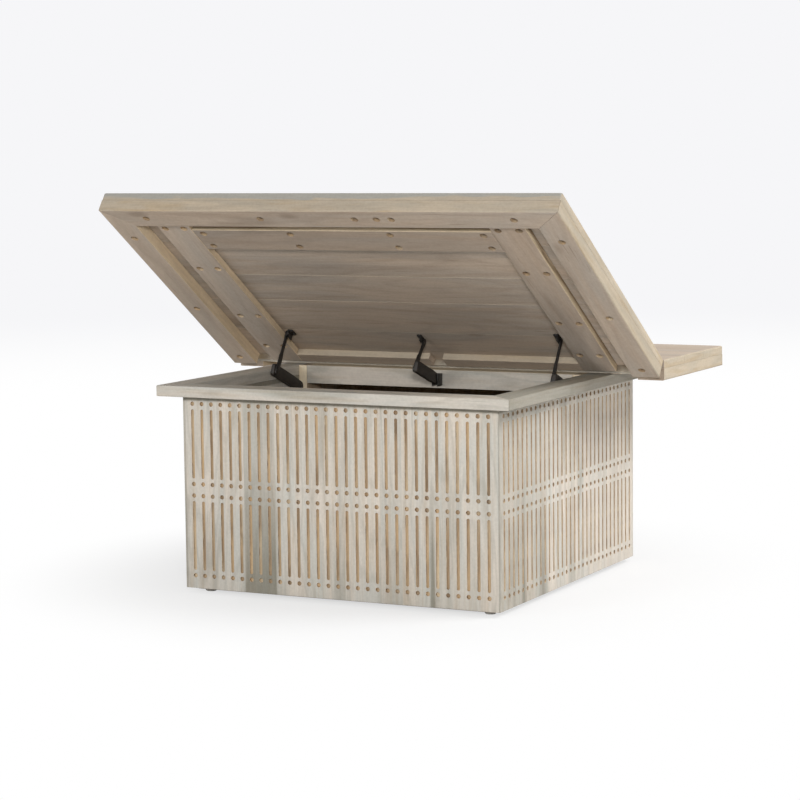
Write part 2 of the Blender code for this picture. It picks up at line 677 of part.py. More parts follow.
def add_pivot(part, x_start, x_end, point, frame):
    """Joins a pivot pin on to the piece that holds it, along X through a point in Y and Z."""
    bm = bmesh.new()
    low = Vector((x_start, *point))
    high = Vector((x_end, *point))
    cylinder(bm, PIVOT_RADIUS, PIVOT_RADIUS, low, high, PIVOT_SIDES)
    combine(part, finish_mesh(f"{part.name}_pivot", bm), (0.0, 0.0, 0.0), frame, "UNION")


def build_stay(name, arm_x, side, reach, drop, on_wall, base, lid):
    """One folding stay: link and arm keep parallel to the lid and to the line from its hinge."""
    stay_step = Vector((BRIDGE_FRONT_Y - STAY_PIVOT_INSET - HINGE_AXIS.y, -drop))
    top = Vector((LID_BACK_Y - reach, PLANK_BASE_Z - STAY_PIVOT_DROP))
    knuckle = top + stay_step
    foot = Vector((HINGE_AXIS.y, HINGE_AXIS.z)) + stay_step
    link = new_frame(f"stay_{name}_link_pivot", Vector((arm_x, *foot)), base, -LID_OPEN_ANGLE)
    arm = new_frame(f"stay_{name}_arm_pivot", Vector((arm_x, *top)), lid, LID_OPEN_ANGLE)
    arm_face = arm_x + side * ARM_THICKNESS / 2
    link_near = arm_face + side * RUN_GAP
    link_far = link_near + side * LINK_THICKNESS
    foot_near = link_far + side * RUN_GAP
    foot_far = foot_near + side * FOOT_THICKNESS
    web_near = arm_x - side * (ARM_THICKNESS / 2 + RUN_GAP)

    def plate(part, loops, x_near, x_far, frame):
        mesh = outline_mesh(part, loops, abs(x_far - x_near))
        centre = ((x_near + x_far) / 2, 0.0, 0.0)
        return add_part(part, mesh, centre, frame, BLACK_STEEL, ACROSS_X)

    if on_wall:
        back = foot.x + LINK_FOOT_RADIUS
        front = back - FOOT_LENGTH
        low = foot.y - FOOT_HEIGHT / 2
        high = foot.y + FOOT_HEIGHT / 2
        corners = [(front, low), (back, low), (back, high), (front, high)]
        foot_plate = plate(f"stay_{name}_foot", [corners], foot_near, foot_far, base)
    else:
        back = BRIDGE_FRONT_Y - SEAT_GAP
        face = back - FOOT_THICKNESS
        front = foot.x - LINK_FOOT_RADIUS
        wing = foot_near + side * FOOT_FLANGE
        corners = [
            (foot_near, front), (foot_far, front), (foot_far, face),
            (wing, face), (wing, back), (foot_near, back),
        ]
        mesh = outline_mesh(f"stay_{name}_foot", [corners], FOOT_HEIGHT)
        foot_plate = add_part(f"stay_{name}_foot", mesh, (0.0, 0.0, foot.y), base, BLACK_STEEL)
    add_pivot(foot_plate, (foot_near + foot_far) / 2, link_near - side * PIVOT_PROUD, foot, base)

    link_plate = plate(f"stay_{name}_link", link_outline(foot, knuckle), link_near, link_far, link)
    pin_end = web_near - side * PIVOT_PROUD
    add_pivot(link_plate, (link_near + link_far) / 2, pin_end, knuckle, link)

    half_arm = ARM_THICKNESS / 2
    plate(f"stay_{name}_arm", arm_outline(top, knuckle), arm_x - half_arm, arm_x + half_arm, arm)

    flange_top = PLANK_BASE_Z - SEAT_GAP
    flange_base = flange_top - BRACKET_THICKNESS
    web_far = web_near - side * BRACKET_THICKNESS
    web_base = top.y - ARM_RADIUS
    flange_end = web_far - side * BRACKET_FLANGE
    corners = [
        (web_near, web_base), (web_near, flange_top), (flange_end, flange_top),
        (flange_end, flange_base), (web_far, flange_base), (web_far, web_base),
    ]
    mesh = outline_mesh(f"stay_{name}_bracket", [corners], BRACKET_LENGTH)
    centre = (0.0, top.x, 0.0)
    bracket = add_part(f"stay_{name}_bracket", mesh, centre, lid, BLACK_STEEL, ACROSS_Y)
    add_pivot(bracket, (web_near + web_far) / 2, arm_face + side * PIVOT_PROUD, top, lid)


def build_stays(base, lid):
    """Two stays against the side walls and one on the cross rail."""
    stack = FOOT_THICKNESS + RUN_GAP + LINK_THICKNESS + RUN_GAP + ARM_THICKNESS / 2
    side_x = WALL_INNER - SEAT_GAP - stack
    build_stay("left", -side_x, -1, SIDE_STAY_REACH, SIDE_STAY_DROP, True, base, lid)
    build_stay("right", side_x, 1, SIDE_STAY_REACH, SIDE_STAY_DROP, True, base, lid)
    build_stay("middle", MIDDLE_STAY_X, 1, MIDDLE_STAY_REACH, MIDDLE_STAY_DROP, False, base, lid)


def main():
    """Builds the table on its two frames."""
    base = new_frame("table", Vector((0.0, BASE_CENTRE_Y, 0.0)))
    lid = new_frame("lid_hinge", HINGE_AXIS, base, -LID_OPEN_ANGLE)
    build_box(base)
    build_glides(base)
    build_bridge(base)
    build_rear_top(base)
    build_lid(lid)
    build_hinge(base, lid)
    build_stays(base, lid)


main()
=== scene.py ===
"""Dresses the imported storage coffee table: limewashed carved wood, folding stays and a white studio.

Every piece is described where it lies with the lid closed, in the box's own coordinates: X and Y from
the middle of the box and Z from the floor, in metres. Its carrier then puts it in the frame.
"""

import json
import logging
import math
import random
from dataclasses import dataclass, field, replace
from enum import Enum
from typing import Any, Iterable, Optional, Sequence

import bmesh
import bpy
from mathutils import Matrix, Vector


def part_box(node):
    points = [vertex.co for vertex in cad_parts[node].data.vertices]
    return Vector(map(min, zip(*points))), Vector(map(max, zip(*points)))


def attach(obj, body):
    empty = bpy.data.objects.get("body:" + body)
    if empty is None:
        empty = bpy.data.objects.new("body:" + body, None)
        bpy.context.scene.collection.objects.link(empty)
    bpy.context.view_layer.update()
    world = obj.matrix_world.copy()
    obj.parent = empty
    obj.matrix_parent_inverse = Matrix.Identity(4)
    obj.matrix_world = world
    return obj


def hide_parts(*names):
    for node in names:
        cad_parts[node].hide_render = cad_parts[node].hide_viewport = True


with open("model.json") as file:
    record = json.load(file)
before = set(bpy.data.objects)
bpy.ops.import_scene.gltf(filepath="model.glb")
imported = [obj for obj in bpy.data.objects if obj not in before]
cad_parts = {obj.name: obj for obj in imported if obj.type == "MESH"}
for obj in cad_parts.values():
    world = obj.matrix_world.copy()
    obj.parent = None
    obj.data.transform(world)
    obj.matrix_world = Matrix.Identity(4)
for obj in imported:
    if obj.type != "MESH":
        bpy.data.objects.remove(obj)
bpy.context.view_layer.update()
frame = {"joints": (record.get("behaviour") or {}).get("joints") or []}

LOG = logging.getLogger("storage_table")
DRAW = random.Random(2607)

Point = tuple[float, float]
Outline = list[Point]
Socket = bpy.types.NodeSocket

# Levels and lines that several sub-assemblies share
SEAT_GAP = 0.0003
WALL_OUTER = 0.3556
WALL_INNER = 0.3376
WALL_BASE_Z = 0.006
WALL_TOP_Z = 0.410
RIM_BASE_Z = 0.4103
RIM_TOP_Z = 0.4329
BATTEN_BASE_Z = 0.4332
BATTEN_TOP_Z = 0.4482
BORDER_BASE_Z = 0.4227
PLANK_BASE_Z = 0.4485
TOP_Z = 0.4665
TOP_SIDE = 0.508
LID_BACK_Y = 0.135
REAR_FRONT_Y = 0.142
BRIDGE_FRONT_Y = 0.105
BRIDGE_BACK_Y = 0.172
POST_OUTER = 0.3373
QUARTER = math.pi / 2
# Distance below which two points are one
TOUCH = 1e-6
# Signs of X and Y, and what those sides are called
SIDES_X = ((-1, "left"), (1, "right"))
SIDES_Y = ((-1, "front"), (1, "back"))

# Least cosine between a face's normal and a side of the board for the face to lie on that side
FACING = 0.9
# Sharpest bend that is shaded round, in degrees: on turned pieces, on pressed ones and in cuts
TURNED_BEND = 40.0
PRESSED_BEND = 50.0
CUT_BEND = 38.0

# Ends of a carved wall where hands rub the lime off: share of its width, and tone
RUBBED_END = 0.0045
RUBBED_TONE = 0.26
# Up a carved wall from its middle: where stains fade out and are full, and where the painted shade
# under the rim starts and is full, with its depth
STAIN_REACH = (0.08, -0.2)
RIM_SHADE_REACH = (0.1885, 0.1940)
RIM_SHADE_DEPTH = 0.75
# Jump of the grain pattern from one glued stave to the next, and reach of the boards' places in it
STAVE_SLIP = 9.0
GRAIN_REACH = 40
# Grain of a carved wall, which runs up the wall, from the wall's own coordinates
UPRIGHT_GRAIN = Matrix(((0, 0, 1, 0), (1, 0, 0, 0), (0, 1, 0, 0), (0, 0, 0, 1)))

# Sockets of a Map Range node in order
RANGE = ("Value", "From Min", "From Max", "To Min", "To Max")
# Sockets of a Mix node that take and give colours
MIX_A, MIX_B, MIX_OUT = 6, 7, 2


def linear(code: str) -> tuple[float, float, float, float]:
    """Turns an sRGB hex colour to linear values.

    Args:
        code: Six hex digits after a hash.

    Returns:
        Red, green, blue and a full alpha.
    """
    shares = [int(code[i:i + 2], 16) / 255 for i in (1, 3, 5)]
    red, green, blue = (s / 12.92 if s <= 0.04045 else ((s + 0.055) / 1.055) ** 2.4 for s in shares)
    return red, green, blue, 1.0


def node(
    tree: bpy.types.NodeTree,
    kind: str,
    inputs: Optional[dict[Any, Any]] = None,
    stops: Sequence[tuple[float, Any]] = (),
    out: int | str = 0,
    **settings: Any,
) -> Socket:
    """Adds a node with its settings, its values and its links.

    Args:
        tree: Tree that takes the node.
        kind: Node type.
        inputs: Socket name or index to a value, to the socket that it is linked from, or to several.
        stops: Places and colours of a ramp.
        out: Which of its outputs is wanted.
        settings: The node's own properties.

    Returns:
        That output, which also leads to the node and its other outputs.
    """
    made = tree.nodes.new(kind)
    for name, value in settings.items():
        setattr(made, name, value)
    for key, value in (inputs or {}).items():
        for source in value if isinstance(value, list) else [value]:
            if isinstance(source, Socket):
                tree.links.new(source, made.inputs[key])
            else:
                made.inputs[key].default_value = source
    for index, (place, colour) in enumerate(stops):
        elements = made.color_ramp.elements
        element = elements[index] if index < 2 else elements.new(place)
        element.position = place
        element.color = colour
    return made.outputs[out]


def blank_material(name: str) -> tuple[bpy.types.Material, bpy.types.NodeTree, bpy.types.Node]:
    """Makes a material that has only its shader.

    Args:
        name: The material's name.

    Returns:
        The material, its tree and its shader.
    """
    made = bpy.data.materials.new(name)
    made.use_nodes = True
    return made, made.node_tree, made.node_tree.nodes["Principled BSDF"]


class Side(Enum):
    """Sides of a board in its own coordinates: grain along x, width along y, thickness along z."""

    START = (-1, 0, 0)
    END = (1, 0, 0)
    OUTER = (0, -1, 0)
    INNER = (0, 1, 0)
    UNDER = (0, 0, -1)
    TOP = (0, 0, 1)


@dataclass(frozen=True)
class Carrier:
    """A CAD body and the matrix that takes closed-lid coordinates to the frame at rest."""

    body: str
    matrix: Matrix

    def turned(self, body: str, pivot: Vector, angle: float) -> "Carrier":
        """Makes the carrier of a body that turns about X at a pivot of this one.

        Args:
            body: The turning CAD body.
            pivot: Point on its axis, with the lid closed.
            angle: Turn at rest, in radians.

        Returns:
            The turning body's carrier.
        """
        turn = Matrix.Translation(pivot) @ Matrix.Rotation(angle, 4, "X") @ Matrix.Translation(-pivot)
        return Carrier(body, self.matrix @ turn)


@dataclass(frozen=True)
class WoodFinish:
    """Mango wood with grain along a board's own x, from the board's grain and tone attributes.

    A pattern's size is given along and across the grain in millimetres. Pores and flecks are drawn a
    few times coarser than real ones, which would be too fine to show in the render.
    """

    name: str
    pale: str
    cool: str
    warm: str
    dark: str
    cool_share: float = 0.85
    warm_share: float = 0.55
    dark_share: float = 0.35
    figure_share: float = 0.16
    knot_share: float = 0.0
    crack_share: float = 0.0
    grit_share: float = 0.07
    skin: str = ""
    skin_mm: Point = (0.0, 0.0)
    roughness: float = 0.72
    bump_mm: float = 0.2
    band_mm: Point = (260.0, 40.0)
    streak_mm: Point = (230.0, 12.0)
    stain_mm: Point = (420.0, 52.0)
    crack_mm: Point = (95.0, 3.5)
    fine_mm: Point = (46.0, 2.8)
    fleck_mm: Point = (6.0, 5.0)
    figure_mm: Point = (620.0, 105.0)
    knot_mm: Point = (330.0, 150.0)
    ring_bend: float = 0.4
    ring_turn: float = 38.0
    skin_wave: float = 0.03
    skin_share: float = 0.9
    specular: float = 0.3

    def material(
        self, label: str = "", staves: Sequence[Point] = (), stains: Sequence[Point] = ()
    ) -> bpy.types.Material:
        """Builds the finish.

        Args:
            label: Added to the finish's name.
            staves: Where each glued stave starts across the wall, as a share, and its tone.
            stains: Places across the wall and how dark its foot is there.

        Returns:
            The material.
        """
        made, tree, shader = blank_material(self.name + label)
        grain = node(tree, "ShaderNodeAttribute", attribute_name="grain", out="Vector")
        tone = node(tree, "ShaderNodeAttribute", attribute_name="tone", out="Fac")
        if staves:
            grain, tone = self.glue_up(tree, grain, staves, stains)
        # Size, detail and distortion of each noise. The last two have cells instead
        patterns = (
            (self.band_mm, 3.0, 0.4), (self.streak_mm, 3.0, 0.5), (self.stain_mm, 3.0, 0.9),
            (self.crack_mm, 1.0, 0.2), (self.fine_mm, 2.0, 0.0), (self.fleck_mm, 2.0, 0.0),
            (self.figure_mm, None, None), (self.knot_mm, None, None),
        )
        drawn = []
        for (along, across), detail, bend in patterns:
            scale = (1000 / along, 1000 / across, 1000 / across)
            spread = node(tree, "ShaderNodeMapping", {"Vector": grain, "Scale": scale})
            values = {"Vector": spread, "Scale": 1.0}
            if detail is None:
                drawn.append(node(tree, "ShaderNodeTexVoronoi", values))
            else:
                noise = values | {"Detail": detail, "Distortion": bend}
                drawn.append(node(tree, "ShaderNodeTexNoise", noise))
        band, streak, stain, crack, fine, fleck, ring, eye = drawn
        curved = {0: band, 1: self.ring_bend, 2: ring}
        bent = node(tree, "ShaderNodeMath", curved, operation="MULTIPLY_ADD")
        wave = node(tree, "ShaderNodeMath", {0: bent, 1: self.ring_turn}, operation="MULTIPLY")
        lines = node(tree, "ShaderNodeMath", {0: wave}, operation="SINE")
        # Pattern, where its colour starts and is full, how much of it there is at most, and the colour
        layers = [
            (band, 0.38, 0.62, self.cool_share, self.cool),
            (streak, 0.50, 0.74, self.warm_share, self.warm),
            (lines, 0.40, 1.00, self.figure_share, self.dark),
            (stain, 0.55, 0.72, self.dark_share, self.dark),
            (crack, 0.70, 0.76, self.crack_share, self.dark),
            (eye, 0.09, 0.03, self.knot_share, self.dark),
            (tone, 0.50, 0.00, 0.80, self.dark),
            (tone, 0.50, 1.00, 0.80, self.pale),
        ]
        # A band across a board's height: lime along the arris of the end plank, painted shade in the corner
        # of a channel
        if self.skin:
            height = node(tree, "ShaderNodeSeparateXYZ", {0: grain}, out=2)
            lifted = {0: streak, 1: self.skin_wave, 2: height}
            wavy = node(tree, "ShaderNodeMath", lifted, operation="MULTIPLY_ADD")
            start, full = (self.skin_wave / 2 + rise / 1000 for rise in self.skin_mm)
            layers.append((wavy, start, full, self.skin_share, self.skin))
        colour: Any = linear(self.pale)
        for pattern, start, full, most, code in layers:
            share = node(tree, "ShaderNodeMapRange", dict(zip(RANGE, (pattern, start, full, 0.0, most))))
            mixed = {0: share, MIX_A: colour, MIX_B: linear(code)}
            colour = node(tree, "ShaderNodeMix", mixed, data_type="RGBA", out=MIX_OUT)
        pores = node(tree, "ShaderNodeMath", {0: fine, 1: fleck}, operation="ADD")
        limits = (pores, 0.7, 1.3, 1.0 - self.grit_share, 1.0 + self.grit_share)
        shade = node(tree, "ShaderNodeMapRange", dict(zip(RANGE, limits)))
        colour = node(tree, "ShaderNodeVectorMath", {0: colour, "Scale": shade}, operation="SCALE")
        tree.links.new(colour, shader.inputs["Base Color"])
        limits = (streak, 0.2, 0.8, self.roughness - 0.1, self.roughness + 0.1)
        matt = node(tree, "ShaderNodeMapRange", dict(zip(RANGE, limits)))
        tree.links.new(matt, shader.inputs["Roughness"])
        relief = node(tree, "ShaderNodeMath", {0: fine, 1: streak}, operation="ADD")
        raised = {"Height": relief, "Strength": 0.4, "Distance": self.bump_mm / 1000}
        tree.links.new(node(tree, "ShaderNodeBump", raised), shader.inputs["Normal"])
        shader.inputs["Specular IOR Level"].default_value = self.specular
        return made

    def glue_up(
        self, tree: bpy.types.NodeTree, grain: Socket, staves: Sequence[Point], stains: Sequence[Point]
    ) -> tuple[Socket, Socket]:
        """Divides a wall into glued staves, with stains that rise from its foot and painted shade under the
        rim.

        Args:
            tree: The material's tree.
            grain: Grain coordinates of the whole wall.
            staves: Starts and tones.
            stains: Places and depths.

        Returns:
            Grain coordinates that jump from stave to stave, and the tone.
        """
        height, sideways, _ = node(tree, "ShaderNodeSeparateXYZ", {0: grain}).node.outputs
        span = (sideways, -WALL_OUTER, WALL_OUTER)
        across = node(tree, "ShaderNodeMapRange", dict(zip(RANGE, span)))
        # Red is a stave's tone, and green tells it from its neighbours
        stops = [(0.0, (RUBBED_TONE, 0.0, 0.0, 1.0))]
        for index, (start, level) in enumerate(staves):
            stops.append((max(start, RUBBED_END), (level, 7 * index % 11 / 11, 0.0, 1.0)))
        stops.append((1.0 - RUBBED_END, (RUBBED_TONE, 0.5, 0.0, 1.0)))
        ramp = node(tree, "ShaderNodeValToRGB", {0: across}, stops)
        ramp.node.color_ramp.interpolation = "CONSTANT"
        level, slip, _ = node(tree, "ShaderNodeSeparateColor", {0: ramp}).node.outputs
        stops = [(place, (depth, depth, depth, 1.0)) for place, depth in stains]
        depth = node(tree, "ShaderNodeValToRGB", {0: across}, stops)
        foot = node(tree, "ShaderNodeMapRange", dict(zip(RANGE, (height, *STAIN_REACH))))
        # Painted shade along the top of the wall, where the rim's overhang shadows it
        painted_rim_shade = node(tree, "ShaderNodeMapRange", dict(zip(RANGE, (height, *RIM_SHADE_REACH, 0.0, RIM_SHADE_DEPTH))))
        loss = node(tree, "ShaderNodeMath", {0: foot, 1: depth, 2: painted_rim_shade}, operation="MULTIPLY_ADD")
        tone = node(tree, "ShaderNodeMath", {0: level, 1: loss}, operation="SUBTRACT")
        slip = node(tree, "ShaderNodeCombineXYZ", {0: slip})
        values = {0: slip, 1: (STAVE_SLIP, STAVE_SLIP, STAVE_SLIP), 2: grain}
        return node(tree, "ShaderNodeVectorMath", values, operation="MULTIPLY_ADD"), tone


@dataclass(frozen=True)
class CoatFinish:
    """Painted, plated or moulded surface with a mottled coat and a fine grit."""

    name: str
    coat: str
    worn: str
    metallic: float
    roughness: float
    mottle_mm: float = 9.0
    grit_mm: float = 1.2

    def material(self) -> bpy.types.Material:
        """Builds the finish from Object coordinates.

        Returns:
            The material.
        """
        made, tree, shader = blank_material(self.name)
        place = node(tree, "ShaderNodeTexCoord", out="Object")
        mottle, grit = (
            node(tree, "ShaderNodeTexNoise", {"Vector": place, "Scale": 1000 / size, "Detail": 3.0})
            for size in (self.mottle_mm, self.grit_mm)
        )
        share = node(tree, "ShaderNodeMapRange", dict(zip(RANGE, (mottle, 0.42, 0.72))))
        mixed = {0: share, MIX_A: linear(self.coat), MIX_B: linear(self.worn)}
        colour = node(tree, "ShaderNodeMix", mixed, data_type="RGBA", out=MIX_OUT)
        tree.links.new(colour, shader.inputs["Base Color"])
        limits = (mottle, 0.3, 0.7, self.roughness - 0.08, self.roughness + 0.1)
        matt = node(tree, "ShaderNodeMapRange", dict(zip(RANGE, limits)))
        tree.links.new(matt, shader.inputs["Roughness"])
        raised = {"Height": grit, "Strength": 0.35, "Distance": 0.0001}
        tree.links.new(node(tree, "ShaderNodeBump", raised), shader.inputs["Normal"])
        shader.inputs["Metallic"].default_value = self.metallic
        return made


# Lime rubbed into planed mango wood: cream with grey lime bands and greenish heartwood, matt
LIMEWASH = WoodFinish(
    "limewashed_planed_mango", "#CCC3B7", "#BDBBB3", "#B5A48D", "#757163", knot_share=0.3, crack_share=0.25
)
# The same wood on both sides of the top, with less lime: smooth grey brown with a faint figure
THIN_WASH = WoodFinish(
    "thinly_washed_mango", "#B5A492", "#A2998E", "#A38B73", "#756556",
    cool_share=0.8, warm_share=0.35, figure_share=0.11, knot_share=0.5, crack_share=0.5,
    band_mm=(460.0, 66.0), streak_mm=(420.0, 40.0),
)
# Edges of the top, rubbed back after liming: cream and tan patches, smooth
RUBBED = WoodFinish(
    "rubbed_edge_mango", "#B7A994", "#A69D8D", "#A58E6C", "#7E705B",
    warm_share=0.7, dark_share=0.2, figure_share=0.06, band_mm=(170.0, 24.0), streak_mm=(150.0, 18.0),
)
# Long edge of the end border, handled most: the same, a shade paler
HANDLED = replace(
    RUBBED, name="handled_edge_mango", pale="#BBAC97", cool="#ABA191", warm="#AE9775", dark="#807260"
)
# Long edge of the end plank: the same, with grey lime left along its upper arris
LIMED_EDGE = replace(HANDLED, name="limed_edge_mango", skin="#9B9992", skin_mm=(-5.0, -1.0))
# Planed faces that the lime hardly reached, on the cross rail and its posts: pale warm cream. On the rail's
# top face it is also painted light, in the lid's shade
CREAM = WoodFinish("planed_sapwood_mango", "#E0D1B6", "#CFBFA2", "#C2A985", "#9A8467", cool_share=0.6)
# Sides of battens in a channel: cream at the arris, and brown painted shade towards the corner with the
# planks
SHADED_CHANNEL = replace(CREAM, name="channel_side_mango", skin="#76624B", skin_mm=(-4.0, 3.0))
# Planed inner sides of the borders and outer sides of the left battens: tan, oiled and hardly limed
TAN = WoodFinish("planed_oiled_mango", "#DAC6A8", "#C6B092", "#B99D77", "#8F7B62", cool_share=0.6)
# Cuts of a router or drill, oiled and wiped with lime: tan and brown, paler where lime stayed
ROUTED = WoodFinish(
    "routed_mango", "#C6AB87", "#968067", "#D6C7AC", "#655443",
    cool_share=0.95, warm_share=0.9, dark_share=0.65, figure_share=0.0, roughness=0.8,
    band_mm=(260.0, 26.0), streak_mm=(300.0, 32.0), stain_mm=(150.0, 40.0),
)
# The same cuts as an even, paler tan: painted light on the right wall's flutes, whose sides the lamps leave
# in shade
PAINTED_LIGHT_ROUTED = replace(
    ROUTED, name="pale_routed_mango", pale="#BCA689", cool="#A28C73", warm="#C8B89F", dark_share=0.25
)
# Sawn and left bare inside the box: dull brown grey with coarse saw marks
SAWN = WoodFinish("sawn_mango", "#A8967F", "#97897A", "#8D7558", "#6B5A48", roughness=0.85, bump_mm=0.4)
# Sanded plywood bottom: even brown veneer
PLYWOOD = WoodFinish("sanded_plywood", "#A68E6C", "#967F60", "#8F7450", "#6F5A40", figure_share=0.5)
# Black powder coat on pressed steel: satin, with brown where hands rub it
POWDER_COAT = CoatFinish("powder_coated_steel", "#161514", "#2A2622", 0.0, 0.42)
# Moulded nylon cover of a link: dull brown black
LINK_COVER = CoatFinish("moulded_black_nylon", "#24211E", "#3A342E", 0.0, 0.55, 12.0, 0.9)
# Phosphated screws deep in their bores: dark, dull metal
PHOSPHATE = CoatFinish("phosphated_screw_steel", "#4A4642", "#6A635A", 1.0, 0.5, 4.0, 0.8)
# Bright zinc on a rolled hinge: pale dull metal with cloudy patches
ZINC = CoatFinish("zinc_plated_steel", "#BDB6A8", "#D2CCBE", 1.0, 0.5, 14.0, 1.0)
# Moulded nylon glides: soft grey with a fine mould grain
GREY_NYLON = CoatFinish("moulded_grey_nylon", "#D0CCC5", "#DDD9D2", 0.0, 0.6, 6.0, 0.9)

FINISHES: dict[str, bpy.types.Material] = {}
IN_CHANNEL: dict[Side, WoodFinish] = {Side.OUTER: SHADED_CHANNEL, Side.INNER: SHADED_CHANNEL}


def finish(kind: WoodFinish | CoatFinish) -> bpy.types.Material:
    """Gives the material of a finish, made once.

    Args:
        kind: The finish.

    Returns:
        Its material.
    """
    if kind.name not in FINISHES:
        FINISHES[kind.name] = kind.material()
    return FINISHES[kind.name]


def new_object(name: str, mesh: bpy.types.Mesh) -> bpy.types.Object:
    """Links a mesh to the scene as an object at the origin.

    Args:
        name: The object's name.
        mesh: Its mesh.

    Returns:
        The object.
    """
    made = bpy.data.objects.new(name, mesh)
    bpy.context.scene.collection.objects.link(made)
    return made


def to_mesh(name: str, bm: bmesh.types.BMesh) -> bpy.types.Mesh:
    """Turns a working mesh to a stored one.

    Args:
        name: The mesh's name.
        bm: The working mesh, which is freed.

    Returns:
        The mesh.
    """
    mesh = bpy.data.meshes.new(name)
    bm.to_mesh(mesh)
    bm.free()
    return mesh


def settle(piece: bpy.types.Object) -> None:
    """Turns a piece and its modifiers to a plain mesh.

    Args:
        piece: Object whose modifiers are applied and removed.
    """
    graph = bpy.context.evaluated_depsgraph_get()
    plain = bpy.data.meshes.new_from_object(
        piece.evaluated_get(graph), preserve_all_data_layers=True, depsgraph=graph
    )
    piece.modifiers.clear()
    old = piece.data
    piece.data = plain
    bpy.data.meshes.remove(old)
    plain.name = piece.name


def shade_round(mesh: bpy.types.Mesh, degrees: float) -> None:
    """Shades a mesh smooth, with edges sharper than an angle kept crisp."""
    mesh.shade_smooth()
    mesh.set_sharp_from_angle(angle=math.radians(degrees))


def mount(piece: bpy.types.Object, carrier: Carrier, nodes: Sequence[str] = ()) -> None:
    """Puts a finished piece on its body and reports it.

    Args:
        piece: The piece, in closed-lid coordinates.
        carrier: What moves it.
        nodes: CAD nodes that it stands for.
    """
    piece.data.transform(carrier.matrix)
    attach(piece, carrier.body)
    if nodes:
        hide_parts(*nodes)
    LOG.info("%s on %s, %d faces", piece.name, carrier.body, len(piece.data.polygons))


def mount_coated(
    bm: bmesh.types.BMesh,
    cad_node: str,
    ending: str,
    bend: float,
    coat: CoatFinish,
    place: Matrix,
    carrier: Carrier,
) -> None:
    """Makes a coated piece from a working mesh and puts it on its body.

    Args:
        bm: The working mesh, which is freed.
        cad_node: CAD node that the piece stands for.
        ending: What the piece's name adds to the node's.
        bend: Sharpest bend that is shaded round, in degrees.
        coat: Its finish.
        place: Its own coordinates to closed-lid coordinates.
        carrier: What moves it.
    """
    mesh = to_mesh(f"{cad_node}_{ending}", bm)
    shade_round(mesh, bend)
    mesh.materials.append(finish(coat))
    mesh.transform(place)
    mount(new_object(mesh.name, mesh), carrier, [cad_node])


def prism(outline: Outline, thickness: float) -> bmesh.types.BMesh:
    """Makes a closed prism.

    Args:
        outline: Corners in x and y, in order.
        thickness: Size along z, centred.

    Returns:
        The prism, facing out.
    """
    bm = bmesh.new()
    low = [bm.verts.new((x, y, -thickness / 2)) for x, y in outline]
    high = [bm.verts.new((x, y, thickness / 2)) for x, y in outline]
    bm.faces.new(list(reversed(low)))
    bm.faces.new(high)
    for index in range(len(outline)):
        bm.faces.new((low[index - 1], low[index], high[index], high[index - 1]))
    bmesh.ops.recalc_face_normals(bm, faces=bm.faces)
    return bm


def arc(centre: Point, radius: float, start: float, end: float, steps: int = 10) -> Outline:
    """Points of an arc from one angle to another.

    Args:
        centre: Middle of the arc.
        radius: Its radius.
        start: First angle in radians.
        end: Last angle in radians.
        steps: Number of chords.

    Returns:
        The points in order.
    """
    angles = [start + (end - start) * step / steps for step in range(steps + 1)]
    return [(centre[0] + radius * math.cos(a), centre[1] + radius * math.sin(a)) for a in angles]


def rounded(low: Point, high: Point, radius: float) -> Outline:
    """Outline of a rectangle with round corners.

    Args:
        low: Low corner.
        high: High corner.
        radius: Corner radius.

    Returns:
        The points in order.
    """
    xs = (high[0] - radius, low[0] + radius, low[0] + radius, high[0] - radius)
    ys = (high[1] - radius, high[1] - radius, low[1] + radius, low[1] + radius)
    loop: Outline = []
    for turn, corner in enumerate(zip(xs, ys)):
        loop += arc(corner, radius, turn * QUARTER, (turn + 1) * QUARTER, 5)
    return loop


def mitred(length: float, width: float, start: bool = True, end: bool = True) -> Outline:
    """Corners of a strip with its outer edge on y = 0.

    Args:
        length: Length of the outer edge.
        width: Width of the strip.
        start: Whether the low x end is mitred.
        end: Whether the high x end is mitred.

    Returns:
        The corners in order.
    """
    setback = SEAT_GAP / math.sqrt(2)
    low = -length / 2 + setback * start
    high = length / 2 - setback * end
    return [(low, 0.0), (high, 0.0), (high - width * end, width), (low + width * start, width)]


def axes(origin: Sequence[float], along: Sequence[float], through: Sequence[float]) -> Matrix:
    """Matrix of a board's own coordinates.

    Args:
        origin: Where the board's middle lies.
        along: Direction of the grain.
        through: Direction of the thickness.

    Returns:
        Board coordinates to closed-lid coordinates.
    """
    x_axis = Vector(along)
    z_axis = Vector(through)
    turn = Matrix((x_axis, z_axis.cross(x_axis), z_axis)).transposed().to_4x4()
    return Matrix.Translation(Vector(origin)) @ turn


